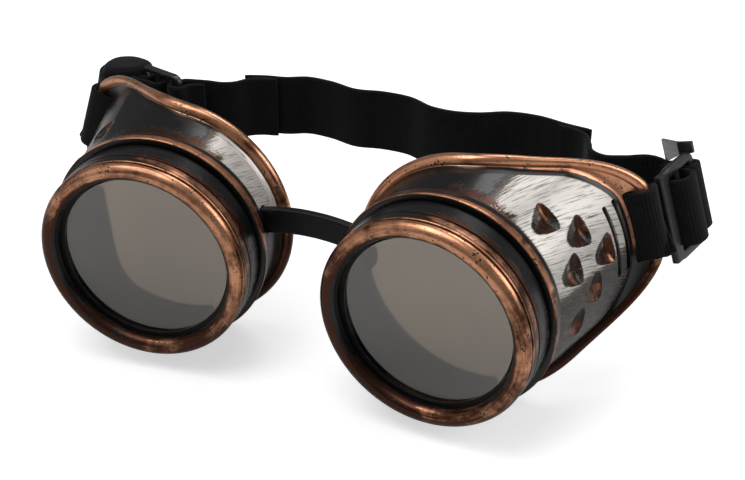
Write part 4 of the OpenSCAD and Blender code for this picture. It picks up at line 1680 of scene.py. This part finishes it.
@dataclass
class StrapSide:
    """The strap loop and the side strap of one side, threaded through their slider."""

    place: CupPlace
    frame: StrapFrame
    shape: CupShape = field(default_factory=CupShape)
    slider: Slider = field(init=False)
    web: Webbing = field(default_factory=Webbing)
    gap: float = 0.3
    band_z: float = 11.0
    wrap_in: float = 1.8
    right_over: tuple[float, float, float] = (3.95, 11.6, 4.2)  # front, rear and rise over the bar
    fold_corners: tuple[tuple[float, float], ...] = (
        (-90.2, 62.6), (-93.9, 68.5), (-93.0, 74.8), (-87.2, 78.0),
        (-79.8, 76.4), (-78.2, 72.0), (-79.6, 68.0), (-85.5, 64.0),
    )  # plan of the tucked fold
    fold_low: float = -6.0
    fold_top: float = 12.2
    fold_round: float = 2.6  # radius of the fold's upper edge
    fold_half: float = 6.5  # usual distance of the fold's outline from its middle

    def __post_init__(self) -> None:
        """Makes the slider whose bars the webbing goes round."""
        self.slider = Slider(self.place.side, self.frame)

    @property
    def layer(self) -> float:
        """Distance between two layers of webbing."""
        return self.web.thick + self.gap

    @property
    def under(self) -> float:
        """Distance of webbing under the slider from the slider's middle plane."""
        return self.slider.thick / 2 + self.gap + self.web.thick / 2

    @property
    def bend(self) -> float:
        """Radius of a fold's middle line."""
        return self.web.thick / 2 + 0.65

    @staticmethod
    def arc(
        centre: tuple[float, float], radius: float, start: float, end: float, parts: int = 4
    ) -> Array:
        """Points of an arc between two angles in degrees."""
        a = np.radians(np.linspace(start, end, parts + 1))
        return np.stack([centre[0] + radius * np.cos(a), centre[1] + radius * np.sin(a)], -1)

    def tail_direction(self, v: Array) -> Array:
        """Row directions of vectors in the tail's frame: outwards, back, and up the tail."""
        return self.place.direction(about_lens_axis(v, self.shape.tail_angle))

    def tail_point(self, v: Array) -> Array:
        """Row places of points in the tail's frame."""
        return self.tail_direction(v) + self.place.to_row(np.zeros(3))

    def rim_stations(self) -> Array:
        """Webbing round the rim's bead at the tail, from outside through the slot to the inside."""
        c = self.shape
        wrap = c.rim_bead + self.gap + 0.25 + self.web.thick / 2
        inner_x = c.inner_corner_r() * np.cos(np.radians(c.tail_half)) + 0.1
        centre = np.array([inner_x, c.tail_s - wrap + self.wrap_in])
        a = np.radians([-25, 5, 35, 62, 90])
        outer = np.stack([c.tail_x + wrap * np.cos(a), c.tail_s - wrap * np.sin(a)], -1)
        q = np.radians([0, 30, 60, 90])
        inner = centre - self.wrap_in * np.stack([np.sin(q), np.cos(q)], -1)
        flat = np.concatenate([outer, inner])
        points = self.tail_point(np.column_stack([flat, np.zeros(len(flat))]))
        up = self.tail_direction(np.tile([0.0, 0.0, 1.0], (len(flat), 1)))
        return np.concatenate([points, up], 1)

    def slider_stations(self, path: Array) -> Array:
        """Stations in the slider's frame: along the strap and away from the head."""
        points = self.frame.point(path[:, 0], path[:, 1], np.zeros(len(path)))
        return np.concatenate([points, np.tile(self.frame.height, (len(path), 1))], 1)

    def loop_at_slider(self) -> Array:
        """Path of the loop through both windows and over the middle bar."""
        s = self.slider
        mid, front = s.bar + s.window_a + s.mid_bar / 2, s.bar + s.window_a / 2
        rear, bend, under, rise = 2 * mid - front, self.bend, self.under, mid - front
        if self.place.side is Side.RIGHT:
            front, rear, rise = self.right_over
        turn = np.radians(np.linspace(0, 180, 13))
        c, n = np.cos(turn), np.sin(turn)
        boxy = 2 / 2.4  # a superellipse, a little squarer than a round bend
        reach = (rear - front) / 2 * np.sign(c) * np.abs(c) ** boxy
        over = np.stack([(front + rear) / 2 + reach, 0.6 + rise * np.abs(n) ** boxy], -1)
        low = -under - self.layer
        return np.concatenate([
            [[-1.5, low], [rear - bend - 1.5, low]],
            self.arc((rear - bend, low + bend), bend, -90, 0),
            over,
            self.arc((front - bend, bend - under), bend, 0, -90),
            [[-1.5, -under]],
        ])

    def hook(self) -> Array:
        """Path of the side strap's turned end round the slider's rear bar."""
        s, off = self.slider, self.gap + self.web.thick / 2
        hook, tip = s.length - s.bar - self.gap - self.web.thick / 2, s.length + off
        b, u = self.bend, self.under
        if self.place.side is Side.RIGHT:
            u = u - 0.2
            return np.concatenate([
                [[hook + 3.6, -9.5], [hook + 3.6, -7], [tip, -2.2]],
                self.arc((tip - b, u - b), b, 0, 90), self.arc((hook + b, u - b), b, 90, 180),
                [[hook, -2.2], [hook + 1.8, -7], [hook + 1.8, -9.5]],
            ])
        return np.concatenate([
            [[hook + 9, 5], [hook + 6.2, 3.2], [tip, 0.8]],
            self.arc((tip - b, b - u), b, 0, -90), self.arc((hook + b, b - u), b, -90, -180),
            [[hook, 1.4], [hook + 1.4, 4], [hook + 4.6, 6]],
        ])

    def plan_stations(self, route: Array) -> Array:
        """Upright webbing along a route in plan."""
        points = self.place.shift(route[:, 0], route[:, 1], np.full(len(route), self.band_z))
        return np.concatenate([points, np.tile([0.0, 0.0, 1.0], (len(route), 1))], 1)

    def fold_stations(self, offset: float) -> Array:
        """One layer of the left loop's fold behind the cup, moved sideways by an offset."""
        route = np.array([[-86.8, 57.5, 14], [-92, 63, 14], [-95.2, 69, 12], [-93.6, 74.2, 8],
                          [-89, 75.8, 5], [-85.2, 73.4, 2]], float)
        padded = np.concatenate([route[:1], route, route[-1:]])
        t = unit(padded[2:, :2] - padded[:-2, :2])
        lean = np.radians(route[:, 2])[:, None]
        side = np.stack([-t[:, 1], t[:, 0]], -1)
        plan = route[:, :2] + offset * side
        points = self.place.shift(plan[:, 0], plan[:, 1], np.full(len(route), self.band_z))
        up = np.concatenate([-side * np.sin(lean), np.cos(lean)], 1)
        return np.concatenate([points, unit(up)], 1)

    def fold_cap(self, cloth: bpy.types.Material) -> bpy.types.Object:
        """Spare webbing tucked into the left fold: a rounded block that fills it to its top.

        The plan's outline is stacked upwards and drawn in near the top along a quarter circle.

        Args:
            cloth: Webbing material.

        Returns:
            The finished piece.
        """
        plan = rounded_loop(np.array(self.fold_corners), np.full(8, 3.0), 0.9, 4)
        top, round_r = self.fold_top, self.fold_round
        edge = top - round_r + round_r * np.sin(np.radians([15, 30, 45, 60, 75, 86]))
        rise = np.concatenate([np.linspace(self.fold_low, top - round_r, 18), edge])
        over = np.maximum(rise - top + round_r, 0)
        inset = round_r - np.sqrt(np.maximum(round_r**2 - over**2, 0))
        middle = plan.mean(0)
        rows = []
        for z, less in zip(rise, inset):
            ring = middle + (plan - middle) * (1 - less / self.fold_half)
            rows.append(self.place.shift(ring[:, 0], ring[:, 1], np.array(self.band_z + z)))
        grid = capped(np.stack(rows))
        lengths = np.linalg.norm(plan - np.roll(plan, 1, 0), axis=1)
        around = np.cumsum(lengths)[None] + np.zeros((len(grid), 1))
        up = np.concatenate([rise[:1], rise, rise[-1:]])[:, None] + 0 * around
        cap = make_tube("left_strap_fold_web", grid, 50, cloth=np.stack([around, up, 0 * up], -1))
        dress(cap, cloth)
        return cap

    def loop_stations(self) -> Array:
        """Whole closed loop: rim, inner layer, slider, outer layer."""
        at_slider = self.slider_stations(self.loop_at_slider())
        if self.place.side is Side.RIGHT:
            return np.concatenate([self.rim_stations(), at_slider])
        near, far = self.fold_stations(-self.layer / 2), self.fold_stations(self.layer / 2)[::-1]
        return np.concatenate([self.rim_stations(), near, at_slider, far])

    def side_route(self) -> Array:
        """Route in plan of the side strap from the slider to the headband."""
        if self.place.side is Side.RIGHT:
            return np.array([[80.5, 74.6], [73.5, 71.6], [68, 70], [64.2, 71.8], [62.4, 76],
                             [60, 80.8], [56.5, 83], [51, 83.9]])
        return np.array([[-58.5, 72.4], [-53.5, 73], [-50.2, 74.8], [-47.6, 78.2], [-44, 80.4],
                         [-39, 81.6]])

    def build(
        self, cloth: bpy.types.Material, plastic: bpy.types.Material, plate: bpy.types.Material
    ) -> None:
        """Makes slider, loop and side strap.

        Args:
            cloth: Webbing material.
            plastic: Slider's plastic.
            plate: Metal of the end plate.
        """
        word = self.place.side.word
        self.slider.build(plastic)
        if self.place.side is Side.RIGHT:
            self.slider.clip(plate, plastic)
        loop = self.web.build(f"{word}_strap_loop_web", self.loop_stations(), True, cloth)
        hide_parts(f"{word}_strap_loop")
        tail_end = self.tail_point(np.array([self.shape.tail_x, self.shape.tail_s + 1.5, 0.0]))
        front = self.frame.point(-0.5, 0.0, 0.0)
        webs = [loop] if self.place.side is Side.RIGHT else [loop, self.fold_cap(cloth)]
        for web in webs:
            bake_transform(web)
        route = self.side_route()
        stations = np.concatenate([self.slider_stations(self.hook()), self.plan_stations(route)])
        strap = self.web.build(f"{word}_side_strap_web", stations, False, cloth)
        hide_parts(f"{word}_side_strap")
        rear = self.frame.point(self.slider.length + 2.5, 0.0, 0.0)
        to = self.place.shift(route[-3:-2, 0], route[-3:-2, 1], np.array([self.band_z]))[0]
        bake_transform(strap)


@dataclass
class BackBand:
    """Elastic headband behind the head, on whose ends the side straps lie."""

    place: CupPlace
    web: Webbing = field(default_factory=Webbing)
    band_z: float = 11.0

    def route(self) -> Array:
        """Route of the band in plan, from right to left, with the waves of slack elastic."""
        return np.array([[61, 84.2], [53, 85.4], [44, 87.4], [35, 86.6], [27, 82.6], [20, 80.8],
                         [13, 81.2], [4, 85.2], [-5, 85.6], [-13, 84.2], [-23, 86.6], [-31, 86.8],
                         [-37, 84], [-43, 82.8], [-49.5, 80.6]])

    def build(self, cloth: bpy.types.Material) -> bpy.types.Object:
        """Makes the band."""
        route = self.route()
        points = self.place.shift(route[:, 0], route[:, 1], np.full(len(route), self.band_z))
        stations = np.concatenate([points, np.tile([0.0, 0.0, 1.0], (len(route), 1))], 1)
        band = self.web.build("back_band_web", stations, False, cloth)
        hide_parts("back_band")
        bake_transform(band)
        return band


# --------------------------------------------------------------------------- studio


@dataclass
class Studio:
    """Camera at the photograph's angle, pale floor, white background and four soft lamps."""

    eye: tuple[float, float, float] = (0.1410, -0.3168, 0.2329)
    look: tuple[float, float, float] = (-0.329, 0.7955, -0.509)
    lens: float = 67.21
    floor_half: float = 4.0  # metres
    floor_glow: float = 0.55  # what camera rays see added to the paper, so that it shows white
    room: float = 0.36  # light of the room
    mirrored: tuple[float, float] = (0.12, 0.22)  # room in gloss, at eye level and overhead
    aim: tuple[float, float, float] = (0.0, 0.0, 0.03)
    lamps: tuple[tuple[str, tuple[float, float, float], float, float], ...] = (
        ("overhead", (-0.2, -0.2, 0.85), 0.6, 4.6),
        ("right", (0.7, 0.2, 0.45), 0.5, 2.6),
        ("back", (0.14, 0.52, 0.85), 0.4, 2.2),
        ("fill", (-0.7, -0.5, 0.5), 0.8, 1.0),
    )  # name, place in metres, size in metres, watts

    def camera(self) -> None:
        """Makes the camera, level, with a frame of 36 mm across the long side."""
        data = bpy.data.cameras.new("camera")
        data.lens, data.sensor_width = self.lens, 36.0
        data.clip_start, data.clip_end = 0.01, 20.0
        camera = bpy.data.objects.new("camera", data)
        camera.location = self.eye
        camera.rotation_euler = Vector(self.look).to_track_quat("-Z", "Y").to_euler()
        bpy.context.scene.collection.objects.link(camera)
        bpy.context.scene.camera = camera

    def lamp(self, name: str, spot: tuple[float, float, float], size: float, watts: float) -> None:
        """Adds a square soft lamp that points at the goggles.

        Args:
            name: Name of the lamp.
            spot: Its place in metres.
            size: Length of its sides in metres.
            watts: Its power.
        """
        data = bpy.data.lights.new(name, "AREA")
        data.shape, data.size, data.energy = "SQUARE", size, watts
        lamp = bpy.data.objects.new(name, data)
        lamp.location = spot
        towards = Vector(self.aim) - Vector(spot)
        lamp.rotation_euler = towards.to_track_quat("-Z", "Y").to_euler()
        bpy.context.scene.collection.objects.link(lamp)

    @staticmethod
    def seen_rays(tree: bpy.types.NodeTree) -> tuple[bpy.types.Node, bpy.types.NodeSocket]:
        """Rays of the camera, straight or through a lens, and glossy rays."""
        rays = add(tree, "LightPath", {})
        names = ("Is Camera Ray", "Is Transmission Ray")
        inputs = {number: rays.outputs[name] for number, name in enumerate(names)}
        return add(tree, "Math", inputs, operation="MAXIMUM"), rays.outputs["Is Glossy Ray"]

    def floor(self) -> None:
        """Makes the pale floor, which shows white to the camera and keeps the shadow."""
        h, low = self.floor_half / MM, -0.02
        grid = np.array([[-h, -h, low], [h, -h, low], [h, h, low], [-h, h, low]])
        mesh = bpy.data.meshes.new("floor")
        mesh.from_pydata(grid * MM, [], [[0, 1, 2, 3]])
        floor = bpy.data.objects.new("floor", mesh)
        bpy.context.scene.collection.objects.link(floor)
        material, tree = new_material("paper_floor")
        seen = self.seen_rays(tree)[0]
        strength = add(tree, "Math", {0: seen, 1: self.floor_glow}, operation="MULTIPLY")
        glow = add(tree, "Emission", {"Color": colour("#FFFFFF"), "Strength": strength})
        paper = add(tree, "BsdfDiffuse", {"Color": colour("#D0D0D0")})
        add(tree, "OutputMaterial", {"Surface": add(tree, "AddShader", {0: glow, 1: paper})})
        mesh.materials.append(material)

    def world(self) -> None:
        """White for camera and transmitted rays, and a room for the rest, darkest at eye level."""
        world = bpy.data.worlds.new("studio")
        world.use_nodes = True
        tree = world.node_tree
        tree.nodes.clear()
        seen, glossy = self.seen_rays(tree)
        direction = add(tree, "TexCoord", {}).outputs["Generated"]
        height = add(tree, "SeparateXYZ", {0: direction}).outputs[2]
        share = add(tree, "MapRange", span(height, (0.1, 0.9)), **SMOOTH)
        mirrored = add(tree, "Mix", {0: share, 2: self.mirrored[0], 3: self.mirrored[1]})
        room = add(tree, "Mix", {0: glossy, 2: self.room, 3: mirrored})
        strength = add(tree, "Mix", {0: seen, 2: room, 3: 1.0})
        sky = add(tree, "Background", {"Color": colour("#FFFFFF"), "Strength": strength})
        add(tree, "OutputWorld", {"Surface": sky})
        bpy.context.scene.world = world

    def build(self) -> None:
        """Makes camera, floor, world and lamps."""
        self.camera()
        self.floor()
        self.world()
        for lamp in self.lamps:
            self.lamp(*lamp)
        bpy.context.scene.view_settings.view_transform = "Standard"


def strap_frame(side: Side, place: CupPlace, shape: CupShape) -> StrapFrame:
    """Frame of a slider, where the part's source puts it.

    On the right it lies just behind the tail and turns 10 degrees outwards. On the left it lies
    behind the cup and turns 16 degrees from the row's X axis.

    Args:
        side: Side of the slider.
        place: Place of that side's cup.
        shape: Sizes of the cup.

    Returns:
        The slider's frame.
    """
    if side is Side.LEFT:
        t = np.radians(16)
        origin = place.shift(np.array(-80.5), np.array(70.8), np.array(11.0))
        along, outward = np.array([np.cos(t), -np.sin(t), 0]), np.array([np.sin(t), np.cos(t), 0])
        return StrapFrame(origin, along, np.array([0, 0, 1.0]), outward)
    t = np.radians(10)

    def turned(v: tuple[float, float, float]) -> Array:
        return place.direction(about_lens_axis(np.array(v), shape.tail_angle))

    origin = place.to_row(np.zeros(3)) + turned((shape.tail_x + 3, shape.tail_s + 5.9, -2.5))
    return StrapFrame(origin, turned((np.sin(t), np.cos(t), 0.0)), turned((0.0, 0.0, 1.0)),
                      turned((np.cos(t), -np.sin(t), 0.0)))


def main() -> None:
    """Builds the goggles piece by piece."""
    logging.basicConfig(level=logging.INFO, format="%(name)s: %(message)s")
    Studio().build()
    shell = DryBrushedShell().build()
    ring = DryBrushedShell(name="aged_copper_abs", patch=2.4).build()
    rubber, glass = MouldedRubber().build(), SmokedLens().build()
    plastic, cloth, nickel = SatinPlastic().build(), ElasticWebbing().build(), NickelPlate().build()
    middle = CupPlace(Side.RIGHT)
    bridge = NoseBridge(middle)
    for side in Side:
        place, shape = CupPlace(side), CupShape()
        Eyecup(place, shape, brushing=BRUSHING[side]).build(bridge, shell)
        LOG.info("%s eyecup", side.word)
        LensPack(place).build(ring, rubber, glass)
        LOG.info("%s bezel, gasket and lens", side.word)
        StrapSide(place, strap_frame(side, place, shape), shape).build(cloth, plastic, nickel)
        LOG.info("%s slider, loop and side strap", side.word)
    bridge.build(rubber)
    LOG.info("nose bridge")
    BackBand(middle).build(cloth)
    LOG.info("back band")


if __name__ == "__main__":
    main()
